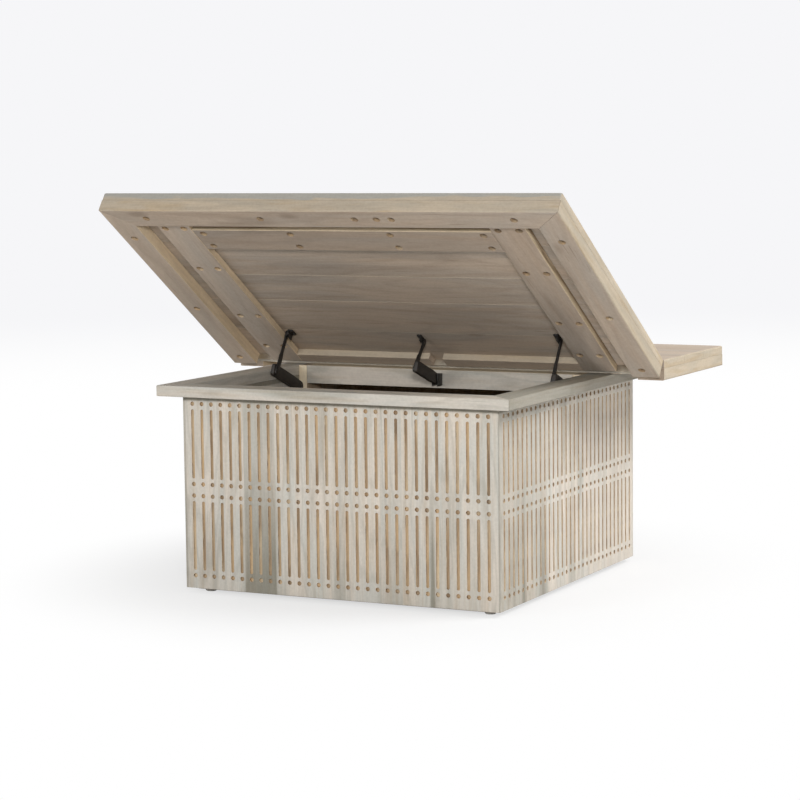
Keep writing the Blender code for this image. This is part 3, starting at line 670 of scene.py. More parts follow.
class GrowTree:
    """A Geometry Nodes tree with named inputs, and what sets them on a modifier."""

    def __init__(self, name: str, numbers: Iterable[str], **others: str) -> None:
        """Makes the empty tree with its inputs.

        Args:
            name: The tree's name.
            numbers: Names of the inputs that are sizes.
            others: Names of other inputs and their socket types, with _ for a space.
        """
        self.tree = bpy.data.node_groups.new(name, "GeometryNodeTree")
        sockets = {label: "NodeSocketFloat" for label in numbers}
        sockets.update({label.replace("_", " "): kind for label, kind in others.items()})
        self.tree.interface.new_socket("Geometry", in_out="OUTPUT", socket_type="NodeSocketGeometry")
        self.tree.interface.new_socket("Geometry", in_out="INPUT", socket_type="NodeSocketGeometry")
        for label, kind in sockets.items():
            self.tree.interface.new_socket(label, in_out="INPUT", socket_type=kind)
        self.values = self.tree.nodes.new("NodeGroupInput").outputs

    def close(self, solid: Socket, coat: str, chosen: Any = True) -> None:
        """Ends the tree: instances made real, and the finish set.

        Args:
            solid: What the tree made.
            coat: Name of the input that holds the finish.
            chosen: Selection of the faces that take it.
        """
        whole = node(self.tree, "GeometryNodeRealizeInstances", {0: solid})
        dressed = {"Geometry": whole, "Selection": chosen, "Material": self.values[coat]}
        done = node(self.tree, "GeometryNodeSetMaterial", dressed)
        self.tree.links.new(done, self.tree.nodes.new("NodeGroupOutput").inputs[0])

    def carve(self, tools: Socket) -> None:
        """Ends a tree that cuts the piece with tools, and finishes only the cuts.

        Args:
            tools: The cutting solids.
        """
        tree = self.tree
        tools = node(tree, "GeometryNodeRealizeInstances", {0: tools})
        marked = {"Geometry": tools, "Name": "cut", "Value": True}
        settings = {"data_type": "BOOLEAN", "domain": "FACE"}
        tools = node(tree, "GeometryNodeStoreNamedAttribute", marked, **settings)
        pair = {"Mesh 1": self.values["Geometry"], "Mesh 2": tools}
        settings = {"operation": "DIFFERENCE", "solver": "MANIFOLD"}
        solid = node(tree, "GeometryNodeMeshBoolean", pair, **settings)
        solid = node(tree, "GeometryNodeSetShadeSmooth", {"Geometry": solid}, domain="FACE")
        bend = node(tree, "GeometryNodeInputMeshEdgeAngle")
        limit = {0: bend, 1: math.radians(CUT_BEND)}
        sharp = node(tree, "FunctionNodeCompare", limit, operation="GREATER_THAN")
        arrises = {"Geometry": solid, "Selection": sharp, "Shade Smooth": False}
        solid = node(tree, "GeometryNodeSetShadeSmooth", arrises, domain="EDGE")
        cut = node(tree, "GeometryNodeInputNamedAttribute", {"Name": "cut"}, data_type="BOOLEAN")
        self.close(solid, "Cut Finish", cut)

    def apply(self, piece: bpy.types.Object, values: dict[str, Any]) -> None:
        """Puts the tree on a piece.

        Args:
            piece: The object.
            values: Named inputs and their values.
        """
        modifier = piece.modifiers.new(self.tree.name, "NODES")
        modifier.node_group = self.tree
        for item in self.tree.interface.items_tree:
            if item.in_out == "INPUT" and item.name in values:
                modifier[item.identifier] = values[item.name]


def flute_tree() -> GrowTree:
    """Builds the tree that routs flutes and drills dots into a wall.

    The wall's own coordinates are x along it, y inwards from its outer face and z up from its middle.

    Returns:
        The tree.
    """
    rows = ("Low Dots", "Pair Below", "Pair Above", "High Dots", "Low Flutes", "High Flutes")
    sizes = (
        "Pitch", "First Column", "Flute Radius", "Flute Depth", "Flute Straight", "Dot Radius", "Dot Depth",
    )
    made = GrowTree(
        "carve_flutes_and_dots", sizes + rows, Columns="NodeSocketInt", Cut_Finish="NodeSocketMaterial"
    )
    tree, value = made.tree, made.values
    ball = node(tree, "GeometryNodeMeshUVSphere", {"Segments": 12, "Rings": 7, "Radius": 1.0})
    width = {0: value["Flute Radius"], 1: value["Flute Depth"], 2: value["Flute Radius"]}
    size = node(tree, "ShaderNodeCombineXYZ", width)
    ball = node(tree, "GeometryNodeTransform", {"Geometry": ball, "Scale": size})
    place = node(tree, "GeometryNodeInputPosition")
    height = node(tree, "ShaderNodeSeparateXYZ", {0: place}, out=2)
    end = node(tree, "ShaderNodeMath", {0: height}, operation="SIGN")
    reach = {0: end, 1: value["Flute Straight"]}
    pull = node(tree, "ShaderNodeMath", reach, operation="MULTIPLY")
    pull = node(tree, "ShaderNodeCombineXYZ", {2: pull})
    router_bit = node(tree, "GeometryNodeSetPosition", {"Geometry": ball, "Offset": pull})
    taper = {"Vertices": 16, "Radius Top": 0.86, "Radius Bottom": 1.14, "Depth": 2.0}
    cone = node(tree, "GeometryNodeMeshCone", taper)
    inwards = {"Geometry": cone, "Translation": (0.0, -1.0, 0.0), "Rotation": (-QUARTER, 0.0, 0.0)}
    cone = node(tree, "GeometryNodeTransform", inwards)
    width = {0: value["Dot Radius"], 1: value["Dot Depth"], 2: value["Dot Radius"]}
    size = node(tree, "ShaderNodeCombineXYZ", width)
    drill = node(tree, "GeometryNodeTransform", {"Geometry": cone, "Scale": size})
    step = node(tree, "ShaderNodeCombineXYZ", {0: value["Pitch"]})
    cutters = []
    for row in rows:
        start = node(tree, "ShaderNodeCombineXYZ", {0: value["First Column"], 2: value[row]})
        run = {"Count": value["Columns"], "Start Location": start, "Offset": step}
        line = node(tree, "GeometryNodeMeshLine", run, mode="OFFSET")
        tool = router_bit if row.endswith("Flutes") else drill
        cutters.append(node(tree, "GeometryNodeInstanceOnPoints", {"Points": line, "Instance": tool}))
    made.carve(node(tree, "GeometryNodeJoinGeometry", {0: cutters}))
    return made


def counterbore_tree() -> GrowTree:
    """Builds the tree that counterbores a board's underside at a set of places.

    Returns:
        The tree.
    """
    made = GrowTree(
        "counterbore_board", ("Bore Radius", "Tool Length"),
        Places="NodeSocketObject", Cut_Finish="NodeSocketMaterial",
    )
    tree, value = made.tree, made.values
    places = node(tree, "GeometryNodeObjectInfo", {"Object": value["Places"]}, out="Geometry")
    sizes = {"Vertices": 22, "Radius": value["Bore Radius"], "Depth": value["Tool Length"]}
    tool = node(tree, "GeometryNodeMeshCylinder", sizes)
    made.carve(node(tree, "GeometryNodeInstanceOnPoints", {"Points": places, "Instance": tool}))
    return made


def head_tree() -> GrowTree:
    """Builds the tree that sets a screw or rivet head at each of a set of places, facing -Z.

    Returns:
        The tree.
    """
    sizes = ("Radius", "Height", "Dome", "Slot Width", "Slot Depth")
    made = GrowTree("fastener_heads", sizes, Finish="NodeSocketMaterial")
    tree, value = made.tree, made.values
    half = node(tree, "ShaderNodeMath", {0: value["Height"], 1: 0.5}, operation="MULTIPLY")
    lift = node(tree, "ShaderNodeCombineXYZ", {2: half})
    sizes = {"Vertices": 20, "Radius": value["Radius"], "Depth": value["Height"]}
    shank = node(tree, "GeometryNodeMeshCylinder", sizes)
    shank = node(tree, "GeometryNodeTransform", {"Geometry": shank, "Translation": lift})
    # A hair narrower than the shank, so that their sides don't coincide
    ball = node(tree, "GeometryNodeMeshUVSphere", {"Segments": 20, "Rings": 10, "Radius": 0.999})
    squash = {0: value["Radius"], 1: value["Radius"], 2: value["Dome"]}
    size = node(tree, "ShaderNodeCombineXYZ", squash)
    dome = node(tree, "GeometryNodeTransform", {"Geometry": ball, "Scale": size})
    settings = {"operation": "UNION", "solver": "EXACT"}
    head = node(tree, "GeometryNodeMeshBoolean", {"Mesh 2": [shank, dome]}, **settings)
    # Two crossed slots, each a little longer than the radius
    length = node(tree, "ShaderNodeMath", {0: value["Radius"], 1: 1.1}, operation="MULTIPLY")
    level = node(tree, "ShaderNodeMath", {0: value["Dome"], 1: -1.0}, operation="MULTIPLY")
    level = node(tree, "ShaderNodeCombineXYZ", {2: level})
    bars = []
    for across in (0, 1):
        ends = {across: length, 1 - across: value["Slot Width"], 2: value["Slot Depth"]}
        size = node(tree, "ShaderNodeCombineXYZ", ends)
        bar = node(tree, "GeometryNodeMeshCube", {"Size": size})
        bars.append(node(tree, "GeometryNodeTransform", {"Geometry": bar, "Translation": level}))
    settings = {"operation": "DIFFERENCE", "solver": "EXACT"}
    head = node(tree, "GeometryNodeMeshBoolean", {"Mesh 1": head, "Mesh 2": bars}, **settings)
    set_out = {"Points": value["Geometry"], "Instance": head}
    made.close(node(tree, "GeometryNodeInstanceOnPoints", set_out), "Finish")
    return made


def knuckle_tree() -> GrowTree:
    """Builds the tree that adds a leaf's own knuckles along the hinge axis.

    Returns:
        The tree.
    """
    sizes = ("Start", "Step", "Length", "Radius")
    made = GrowTree("hinge_knuckles", sizes, Count="NodeSocketInt", Finish="NodeSocketMaterial")
    tree, value = made.tree, made.values
    start, step = (node(tree, "ShaderNodeCombineXYZ", {0: value[key]}) for key in ("Start", "Step"))
    run = {"Count": value["Count"], "Start Location": start, "Offset": step}
    line = node(tree, "GeometryNodeMeshLine", run, mode="OFFSET")
    sizes = {"Vertices": 20, "Radius": value["Radius"], "Depth": value["Length"]}
    barrel = node(tree, "GeometryNodeMeshCylinder", sizes)
    barrel = node(tree, "GeometryNodeTransform", {"Geometry": barrel, "Rotation": (0.0, QUARTER, 0.0)})
    barrels = node(tree, "GeometryNodeInstanceOnPoints", {"Points": line, "Instance": barrel})
    made.close(node(tree, "GeometryNodeJoinGeometry", {0: [barrels, value["Geometry"]]}), "Finish")
    return made


@dataclass
class Board:
    """One board: a prism with eased edges, any cuts, and its own grain and tone."""

    node: str
    outline: Outline
    thickness: float
    place: Matrix
    carrier: Carrier
    wood: WoodFinish = LIMEWASH
    slot: str = "limewashed_wood"
    ending: str = "board"
    faces: dict[Side, WoodFinish] = field(default_factory=dict)
    soft: frozenset[Side] = frozenset()
    flush: frozenset[Side] = frozenset()
    joint: Optional[Side] = None
    soft_radius: float = 0.0035
    eased: float = 0.0008
    crisp: float = 0.0002
    tone: float = 0.5
    tone_spread: float = 0.12
    coat: Optional[bpy.types.Material] = None
    to_grain: Optional[Matrix] = None
    cuts: WoodFinish = ROUTED
    bores: list[Vector] = field(default_factory=list)
    bore_radius: float = 0.0078
    bore_depth: float = 0.008
    piece: bpy.types.Object = field(init=False)

    def build(self, cutting: GrowTree, sizes: Optional[dict[str, Any]] = None) -> None:
        """Makes the board's plain mesh in its own coordinates.

        Args:
            cutting: Tree that drills the counterbores, or carves the board where sizes are given.
            sizes: Values of the carving tree's inputs.
        """
        bm = prism(self.outline, self.thickness)
        weight = bm.edges.layers.float.new("bevel_weight_edge")
        for face in bm.faces:
            face.smooth = True
            for index, side in enumerate(self.faces, start=1):
                if face.normal.dot(Vector(side.value)) > FACING:
                    face.material_index = index
        for edge in bm.edges:
            meets = {s for s in Side for f in edge.link_faces if f.normal.dot(Vector(s.value)) > FACING}
            edge[weight] = self.eased / self.soft_radius
            if len(meets) == 2 and meets <= self.soft:
                edge[weight] = 1.0
            elif self.joint in meets and meets & self.flush:
                edge[weight] = self.crisp / self.soft_radius
        mesh = to_mesh(f"{self.node}_{self.ending}", bm)
        for coat in (self.coat or finish(self.wood), *map(finish, self.faces.values())):
            mesh.materials.append(coat)
        self.piece = new_object(mesh.name, mesh)
        ease = self.piece.modifiers.new("eased_edges", "BEVEL")
        ease.limit_method = "WEIGHT"
        ease.width = self.soft_radius
        ease.segments = 3
        marks = None
        if self.bores:
            spots = bpy.data.meshes.new("bore_places")
            spots.from_pydata([tuple(place) for place in self.bores], [], [])
            marks = new_object("bore_places", spots)
            sizes = {"Places": marks, "Bore Radius": self.bore_radius, "Tool Length": 2 * self.bore_depth}
        if sizes:
            cutting.apply(self.piece, sizes | {"Cut Finish": finish(self.cuts)})
        self.piece.modifiers.new("flat_faces", "WEIGHTED_NORMAL").keep_sharp = True
        settle(self.piece)
        if marks:
            bpy.data.objects.remove(marks)
            bpy.data.meshes.remove(spots)

    def dress(self) -> None:
        """Gives the board its grain and tone, and puts it on its body."""
        tone = self.tone + DRAW.uniform(-self.tone_spread, self.tone_spread)
        shift = Matrix.Translation((DRAW.uniform(0, GRAIN_REACH), DRAW.uniform(0, GRAIN_REACH), 0.0))
        to_grain = self.to_grain or shift
        mesh = self.piece.data
        flat: list[float] = []
        for face in mesh.polygons:
            for index in face.vertices:
                spot = mesh.vertices[index].co
                # On an end face the pattern runs along the edge of the whole top
                flat.extend((self.place @ spot).yxz if abs(face.normal.x) > FACING else to_grain @ spot)
        mesh.attributes.new("grain", "FLOAT_VECTOR", "CORNER").data.foreach_set("vector", flat)
        mesh.attributes.new("tone", "FLOAT", "POINT").data.foreach_set("value", [tone] * len(mesh.vertices))
        mesh.transform(self.place)
        mount(self.piece, self.carrier, [self.node])


def box_board(
    node_name: str, low: Sequence[float], high: Sequence[float], grain: str, carrier: Carrier, **fields: Any
) -> Board:
    """Makes a square-cut board between two corners.

    Args:
        node_name: CAD node that it stands for.
        low: Low corner with the lid closed.
        high: High corner with the lid closed.
        grain: Axis of the grain, X, Y or Z.
        carrier: What moves it.
        fields: Other fields of the board.

    Returns:
        The board.
    """
    size = Vector(high) - Vector(low)
    middle = (Vector(high) + Vector(low)) / 2
    along, through, (length, width, thickness) = {
        "X": ((1, 0, 0), (0, 0, 1), size),
        "Y": ((0, 1, 0), (0, 0, 1), size.yxz),
        "Z": ((0, 0, 1), (0, 1, 0), size.zxy),
    }[grain]
    corners = [(x * length / 2, y * width / 2) for x, y in ((-1, -1), (1, -1), (1, 1), (-1, 1))]
    return Board(node_name, corners, thickness, axes(middle, along, through), carrier, **fields)


@dataclass
class Joinery:
    """A sub-assembly of boards on one body."""

    carrier: Carrier
    boards: list[Board] = field(default_factory=list, kw_only=True)

    def dress(self) -> None:
        """Gives the boards their grain and puts them on their body."""
        for board in self.boards:
            board.dress()


@dataclass
class CarvedBox(Joinery):
    """The box: four carved walls, the mitred rim, the posts inside and the bottom on its cleats."""

    pitch: float = 0.0222
    columns: int = 31
    flute_radius: float = 0.0034
    flute_depth: float = 0.0042
    dot_radius: float = 0.0046
    dot_depth: float = 0.0040
    foot: float = 0.0105
    dot_from_bottom: float = 0.0266
    dot_from_top: float = 0.0168
    pair_spacing: float = 0.0242
    flute_to_dot: float = 0.0113
    rim_width: float = 0.057
    rim_outer: float = 0.3946
    rim_round: float = 0.0016
    rim_arris: float = 0.0009
    wall_arris: float = 0.0007
    post_size: float = 0.038
    cleat_size: float = 0.018
    bottom_base: float = 0.0243
    bottom_top: float = 0.0363
    # The right rail's low tone is painted shade, where the overhanging top shadows it
    rim_tones: dict[str, float] = field(
        default_factory=lambda: {"front": 0.43, "right": 0.09, "back": 0.48, "left": 0.44}
    )
    staves: dict[str, tuple[Point, ...]] = field(
        default_factory=lambda: {
            "front": (
                (0.0, 0.52), (0.198, 0.37), (0.300, 0.55), (0.522, 0.54),
                (0.633, 0.47), (0.700, 0.50), (0.796, 0.49),
            ),
            # The right wall's staves grow paler from front to back: painted light from the right-hand lamp,
            # over the staves' own tones
            "right": ((0.0, 0.31), (0.165, 0.38), (0.322, 0.54), (0.600, 0.70), (0.800, 0.78)),
            "back": ((0.0, 0.55), (0.25, 0.45), (0.41, 0.56), (0.70, 0.42), (0.82, 0.52)),
            "left": ((0.0, 0.52), (0.17, 0.57), (0.45, 0.43), (0.57, 0.54), (0.78, 0.58)),
        }
    )
    stains: dict[str, tuple[Point, ...]] = field(
        default_factory=lambda: {
            "front": (
                (0.0, 0.08), (0.190, 0.08), (0.205, 0.44), (0.250, 0.38), (0.297, 0.52), (0.310, 0.10),
                (0.620, 0.12), (0.670, 0.22), (0.785, 0.08), (0.797, 0.85), (0.806, 0.2), (0.830, 0.1),
                (1.0, 0.06),
            ),
            "right": (
                (0.0, 0.0), (0.140, 0.05), (0.166, 0.40), (0.185, 0.05), (0.260, 0.03), (0.295, 0.36),
                (0.340, 0.03), (0.600, 0.0), (1.0, 0.0),
            ),
            "back": ((0.0, 0.0), (0.30, 0.05), (0.36, 0.30), (0.42, 0.0), (1.0, 0.0)),
            "left": ((0.0, 0.0), (0.48, 0.05), (0.52, 0.25), (0.60, 0.0), (1.0, 0.0)),
        }
    )

    def build(self, flutes: GrowTree, bores: GrowTree) -> None:
        """Makes the meshes of the walls, the rim and the boards inside.

        Args:
            flutes: Tree that carves a wall.
            bores: Tree that drills counterbores.
        """
        for index, side in enumerate(("front", "right", "back", "left")):
            turn = Matrix.Rotation(index * QUARTER, 4, "Z")
            self.build_wall(side, turn, flutes)
            middle = Matrix.Translation((0.0, -self.rim_outer, (RIM_BASE_Z + RIM_TOP_Z) / 2))
            rail = Board(
                f"rim_{side}", mitred(2 * self.rim_outer, self.rim_width), RIM_TOP_Z - RIM_BASE_Z,
                turn @ middle, self.carrier, soft=frozenset((Side.OUTER, Side.TOP, Side.UNDER)),
                soft_radius=self.rim_round, eased=self.rim_arris, tone=self.rim_tones[side], tone_spread=0.0,
            )
            rail.build(bores)
            self.boards.append(rail)
        inside = self.boards_inside()
        for board in inside:
            board.build(bores)
        self.boards += inside

    def build_wall(self, side: str, turn: Matrix, flutes: GrowTree) -> None:
        """Makes one wall with its flutes and dots.

        Args:
            side: Side of the box.
            turn: Turns the front side to it.
            flutes: Tree that carves the wall.
        """
        height = WALL_TOP_Z - self.foot
        low = self.dot_from_bottom - height / 2
        high = height / 2 - self.dot_from_top
        below = (low + high - self.pair_spacing) / 2
        above = (low + high + self.pair_spacing) / 2
        carving = {
            "Columns": self.columns, "Pitch": self.pitch,
            "First Column": -(self.columns - 1) * self.pitch / 2,
            "Flute Radius": self.flute_radius, "Flute Depth": self.flute_depth,
            "Flute Straight": (below - low) / 2 - self.flute_to_dot - self.flute_radius,
            "Dot Radius": self.dot_radius, "Dot Depth": self.dot_depth,
            "Low Dots": low, "Pair Below": below, "Pair Above": above, "High Dots": high,
            "Low Flutes": (low + below) / 2, "High Flutes": (above + high) / 2,
        }
        middle = Matrix.Translation((0.0, -WALL_OUTER, (self.foot + WALL_TOP_Z) / 2))
        # The back wall's inner face takes the darker sawn finish, which also paints the shade inside the box
        wall = Board(
            f"wall_{side}", mitred(2 * WALL_OUTER, WALL_OUTER - WALL_INNER), height, turn @ middle,
            self.carrier, ending="carved", soft_radius=self.wall_arris, eased=self.wall_arris,
            faces={Side.INNER: SAWN} if side == "back" else {},
            coat=LIMEWASH.material(f"_{side}_staves", self.staves[side], self.stains[side]),
            # The right wall's flutes and dots take the finish with painted light
            cuts=PAINTED_LIGHT_ROUTED if side == "right" else ROUTED,
            to_grain=UPRIGHT_GRAIN,
        )
        wall.build(flutes, carving)
        self.boards.append(wall)

    def boards_inside(self) -> list[Board]:
        """Lays out the posts, the cleats and the bottom.

        Returns:
            The boards.
        """
        inner = POST_OUTER - self.post_size
        half = inner - SEAT_GAP
        raw: dict[str, Any] = {"wood": SAWN, "slot": "raw_wood"}
        boards = []
        for y_side, y_name in SIDES_Y:
            ys = sorted((y_side * inner, y_side * POST_OUTER))
            for x_side, x_name in SIDES_X:
                xs = sorted((x_side * inner, x_side * POST_OUTER))
                low, high = (xs[0], ys[0], WALL_BASE_Z), (xs[1], ys[1], WALL_TOP_Z)
                name = f"corner_post_{y_name}_{x_name}"
                boards.append(box_board(name, low, high, "Z", self.carrier, **raw))
            ys = sorted((y_side * POST_OUTER, y_side * (POST_OUTER - self.cleat_size)))
            low, high = (-half, ys[0], WALL_BASE_Z), (half, ys[1], WALL_BASE_Z + self.cleat_size)
            boards.append(box_board(f"bottom_cleat_{y_name}", low, high, "X", self.carrier, **raw))
        wide = POST_OUTER
        notched = [
            (-half, -wide), (half, -wide), (half, -half), (wide, -half), (wide, half), (half, half),
            (half, wide), (-half, wide), (-half, half), (-wide, half), (-wide, -half), (-half, -half),
        ]
        place = Matrix.Translation((0.0, 0.0, (self.bottom_base + self.bottom_top) / 2))
        thickness = self.bottom_top - self.bottom_base
        boards.append(
            Board("bottom_panel", notched, thickness, place, self.carrier, wood=PLYWOOD, slot="plywood")
        )
        return boards


@dataclass
class Bridge(Joinery):
    """Cross rail under the hinge line, on a post at each end."""

    rail_base: float = 0.3933
    rail_half: float = 0.317
    rail_round: float = 0.002
    rail_tone: float = 0.50
    post_base: float = 0.0366
    post_thickness: float = 0.020
    post_tone: float = 0.7

    def build(self, bores: GrowTree) -> None:
        """Makes the rail and its posts.

        Args:
            bores: Tree that drills counterbores.
        """
        low = (-self.rail_half, BRIDGE_FRONT_Y, self.rail_base)
        high = (self.rail_half, BRIDGE_BACK_Y, RIM_TOP_Z)
        # The rail's cream top face is planed wood with painted light, where the lid shades it
        self.boards.append(
            box_board(
                "bridge_rail", low, high, "X", self.carrier, tone=self.rail_tone,
                soft=frozenset((Side.OUTER, Side.TOP)), soft_radius=self.rail_round, faces={Side.TOP: CREAM},
            )
        )
        for x_side, x_name in SIDES_X:
            xs = sorted((x_side * POST_OUTER, x_side * (POST_OUTER - self.post_thickness)))
            low, high = (xs[0], BRIDGE_FRONT_Y, self.post_base), (xs[1], BRIDGE_BACK_Y, RIM_TOP_Z)
            self.boards.append(
                box_board(
                    f"bridge_post_{x_name}", low, high, "Z", self.carrier, wood=SAWN, slot="raw_wood",
                    tone=self.post_tone, faces={Side.UNDER: CREAM},
                )
            )
        for board in self.boards:
            board.build(bores)


@dataclass
class TopPart(Joinery):
    """One part of the top: planks, border strips under its edges and battens that rest on the rim."""

    prefix: str
    end_name: str
    hinge_y: float
    end_y: float
    plank_widths: tuple[float, ...]
    end_screw_x: tuple[float, ...]
    side_reach: tuple[float, ...]
    batten_reach: tuple[float, ...]
    notch: Optional[Point] = None
    tight_joints: tuple[int, ...] = ()
    border_width: float = 0.059
    batten_width: float = 0.075
    batten_outer: float = 0.411
    batten_inner: float = 0.336
    end_channel: float = 0.031
    end_gap: float = 0.002
    hinge_batten: float = 0.030
    column_spacing: float = 0.044
    row_spacing: float = 0.047
    batten_screw_x: float = 0.112
    batten_screw_inset: float = 0.0217
    end_screw_inset: float = 0.100
    side_screw_inset: float = 0.108
    side_batten_inset: float = 0.085
    screw_rise: float = 0.0054
    plank_arris: float = 0.0009
    batten_arris: float = 0.0013
    hinge_arris: float = 0.0008
    plank_spread: float = 0.08
    strip_spread: float = 0.02
    # Tones of the boards: the right-hand borders and battens and the end batten are painted darker, the
    # left-hand ones and the hinge batten paler, painted shade and light that even out how the lamps fall on
    # the underside
    tones: dict[str, float] = field(
        default_factory=lambda: {
            "border_end": 0.40, "border_left": 0.74, "border_right": 0.39, "plank": 0.50,
            "batten_end": 0.27, "batten_left": 0.68, "batten_right": 0.34, "batten_hinge": 0.80,
        }
    )
    screws: list[Vector] = field(default_factory=list)

    @property
    def heading(self) -> float:
        """Sign of Y from the hinge line to the end of this part."""
        return math.copysign(1.0, self.end_y - self.hinge_y)

    def add(self, board: Board, bores: Iterable[Point] = (), face_z: float = 0.0) -> None:
        """Adds a board with its counterbores.

        Args:
            board: The board.
            bores: Places of the bores with the lid closed.
            face_z: Level of the face that they are drilled from.
        """
        to_board = board.place.inverted()
        for x, y in bores:
            spot = Vector((x, y, face_z))
            board.bores.append(to_board @ spot)
            self.screws.append(spot + Vector((0.0, 0.0, self.screw_rise)))
        self.boards.append(board)

    def build(self, bores: GrowTree) -> None:
        """Makes every board of this part.

        Args:
            bores: Tree that drills counterbores.
        """
        self.add_planks()
        self.add_borders()
        self.add_battens()
        for board in self.boards:
            board.build(bores)

    def add_planks(self) -> None:
        """Lays the planks from the hinge line to the end."""
        edge = self.hinge_y
        sides = (Side.INNER, Side.OUTER)
        hinge_side, end_side = sides if self.heading < 0 else sides[::-1]
        faces = {Side.START: RUBBED, Side.END: RUBBED, end_side: LIMED_EDGE}
        for index, width in enumerate(self.plank_widths, start=1):
            near = edge + self.heading * SEAT_GAP * (index > 1)
            edge += self.heading * width
            ys = sorted((near, edge))
            soft = {Side.TOP, Side.START, Side.END}
            if index == len(self.plank_widths):
                soft.add(end_side)
            joints = ((index, end_side), (index - 1, hinge_side))
            flush = soft | {side for joint, side in joints if joint in self.tight_joints}
            low, high = (-TOP_SIDE, ys[0], PLANK_BASE_Z), (TOP_SIDE, ys[1], TOP_Z)
            plank = box_board(
                f"{self.prefix}_plank_{index}", low, high, "X", self.carrier, wood=THIN_WASH, faces=faces,
                soft=frozenset(soft), flush=frozenset(flush), joint=Side.UNDER, eased=self.plank_arris,
                tone=self.tones["plank"], tone_spread=self.plank_spread,
            )
            self.add(plank)

    def add_borders(self) -> None:
        """Adds the border strips under the end and the two sides."""
        level = (BORDER_BASE_Z + BATTEN_TOP_Z) / 2
        thickness = BATTEN_TOP_Z - BORDER_BASE_Z
        at_front = self.heading < 0
        strip = self.border_width / 2
        shared: dict[str, Any] = {
            "soft": frozenset((Side.OUTER, Side.UNDER)), "flush": frozenset((Side.OUTER,)), "joint": Side.TOP,
            "wood": THIN_WASH, "tone_spread": self.strip_spread,
            "faces": {Side.OUTER: RUBBED, Side.INNER: TAN},
        }
        turn = Matrix.Rotation(0.0 if at_front else math.pi, 4, "Z")
        place = Matrix.Translation((0.0, self.end_y, level)) @ turn
        end_x = TOP_SIDE - self.end_screw_inset
        end_strip = Board(
            f"{self.prefix}_border_{self.end_name}", mitred(2 * TOP_SIDE, self.border_width), thickness,
            place, self.carrier, tone=self.tones["border_end"], **shared | {"faces": {Side.OUTER: HANDLED}},
        )
        bores = [(x, self.end_y - self.heading * strip) for x in (-end_x, *self.end_screw_x, end_x)]
        self.add(end_strip, bores, BORDER_BASE_Z)
        length = abs(self.end_y - self.hinge_y)
        side_y = [self.hinge_y + self.heading * reach for reach in self.side_reach]
        side_y.append(self.end_y - self.heading * self.side_screw_inset)
        for x_side, x_name in SIDES_X:
            at_start = (x_side > 0) == at_front
            place = Matrix.Translation((x_side * TOP_SIDE, (self.hinge_y + self.end_y) / 2, level))
            side_strip = Board(
                f"{self.prefix}_border_{x_name}", mitred(length, self.border_width, at_start, not at_start),
                thickness, place @ Matrix.Rotation(x_side * QUARTER, 4, "Z"), self.carrier,
                tone=self.tones[f"border_{x_name}"], **shared,
            )
            self.add(side_strip, [(x_side * (TOP_SIDE - strip), y) for y in side_y], BORDER_BASE_Z)

    def add_battens(self) -> None:
        """Adds the side battens, the wide end batten and the narrow one along the hinge line."""
        stop_y = self.end_y - self.heading * (self.border_width + self.end_gap)
        batten_y = [self.hinge_y + self.heading * reach for reach in self.batten_reach]
        batten_y.append(self.end_y - self.heading * self.side_batten_inset)
        ys = sorted((self.hinge_y, stop_y))
        columns = (-self.column_spacing / 2, self.column_spacing / 2)
        for x_side, x_name in SIDES_X:
            xs = sorted((x_side * self.batten_inner, x_side * self.batten_outer))
            bores = [(sum(xs) / 2 + column, y) for y in batten_y for column in columns]
            faces = IN_CHANNEL | {Side.OUTER: TAN if x_side < 0 else SHADED_CHANNEL}
            self.add_batten(x_name, x_name, xs, ys, bores, faces=faces)
        half = self.batten_inner - SEAT_GAP
        outer_y = self.end_y - self.heading * (self.border_width + self.end_channel)
        ys = sorted((outer_y, outer_y - self.heading * self.batten_width))
        bores = [
            (x_side * x, sum(ys) / 2 + row * self.row_spacing / 2)
            for x in (self.batten_screw_x, half - self.batten_screw_inset)
            for x_side in (-1, 1)
            for row in (-1, 1)
        ]
        self.add_batten(self.end_name, "end", (-half, half), ys, bores)
        ys = sorted((self.hinge_y, self.hinge_y + self.heading * self.hinge_batten))
        rubbed = {Side.OUTER: RUBBED, Side.INNER: RUBBED}
        lengths = {"hinge": (-half, half)}
        if self.notch:
            lengths = {"hinge_left": (-half, self.notch[0]), "hinge_right": (self.notch[1], half)}
        for name, xs in lengths.items():
            self.add_batten(name, "hinge", xs, ys, (), faces=rubbed, eased=self.hinge_arris)

    def add_batten(
        self,
        name: str,
        kind: str,
        xs: Sequence[float],
        ys: Sequence[float],
        bores: Iterable[Point],
        **fields: Any,
    ) -> None:
        """Adds one batten, with its grain along it.

        Args:
            name: End of its node's name.
            kind: Which of the battens' tones it has.
            xs: Its low and high X.
            ys: Its low and high Y.
            bores: Places of its bores with the lid closed.
            fields: Other fields of the board.
        """
        low, high = (xs[0], ys[0], BATTEN_BASE_Z), (xs[1], ys[1], BATTEN_TOP_Z)
        grain = "Y" if ys[1] - ys[0] > xs[1] - xs[0] else "X"
        fields = {"faces": IN_CHANNEL, "eased": self.batten_arris} | fields
        batten = box_board(
            f"{self.prefix}_batten_{name}", low, high, grain, self.carrier, wood=THIN_WASH,
            tone=self.tones[f"batten_{kind}"], tone_spread=self.strip_spread, **fields,
        )
        self.add(batten, bores, BATTEN_BASE_Z)

    def set_screws(self, heads: GrowTree) -> None:
        """Sets the screws in their bores.

        Args:
            heads: Tree that makes fastener heads.
        """
        HeadKind.SCREW.set_out(f"{self.prefix}_screws", self.screws, Matrix.Identity(4), self.carrier, heads)


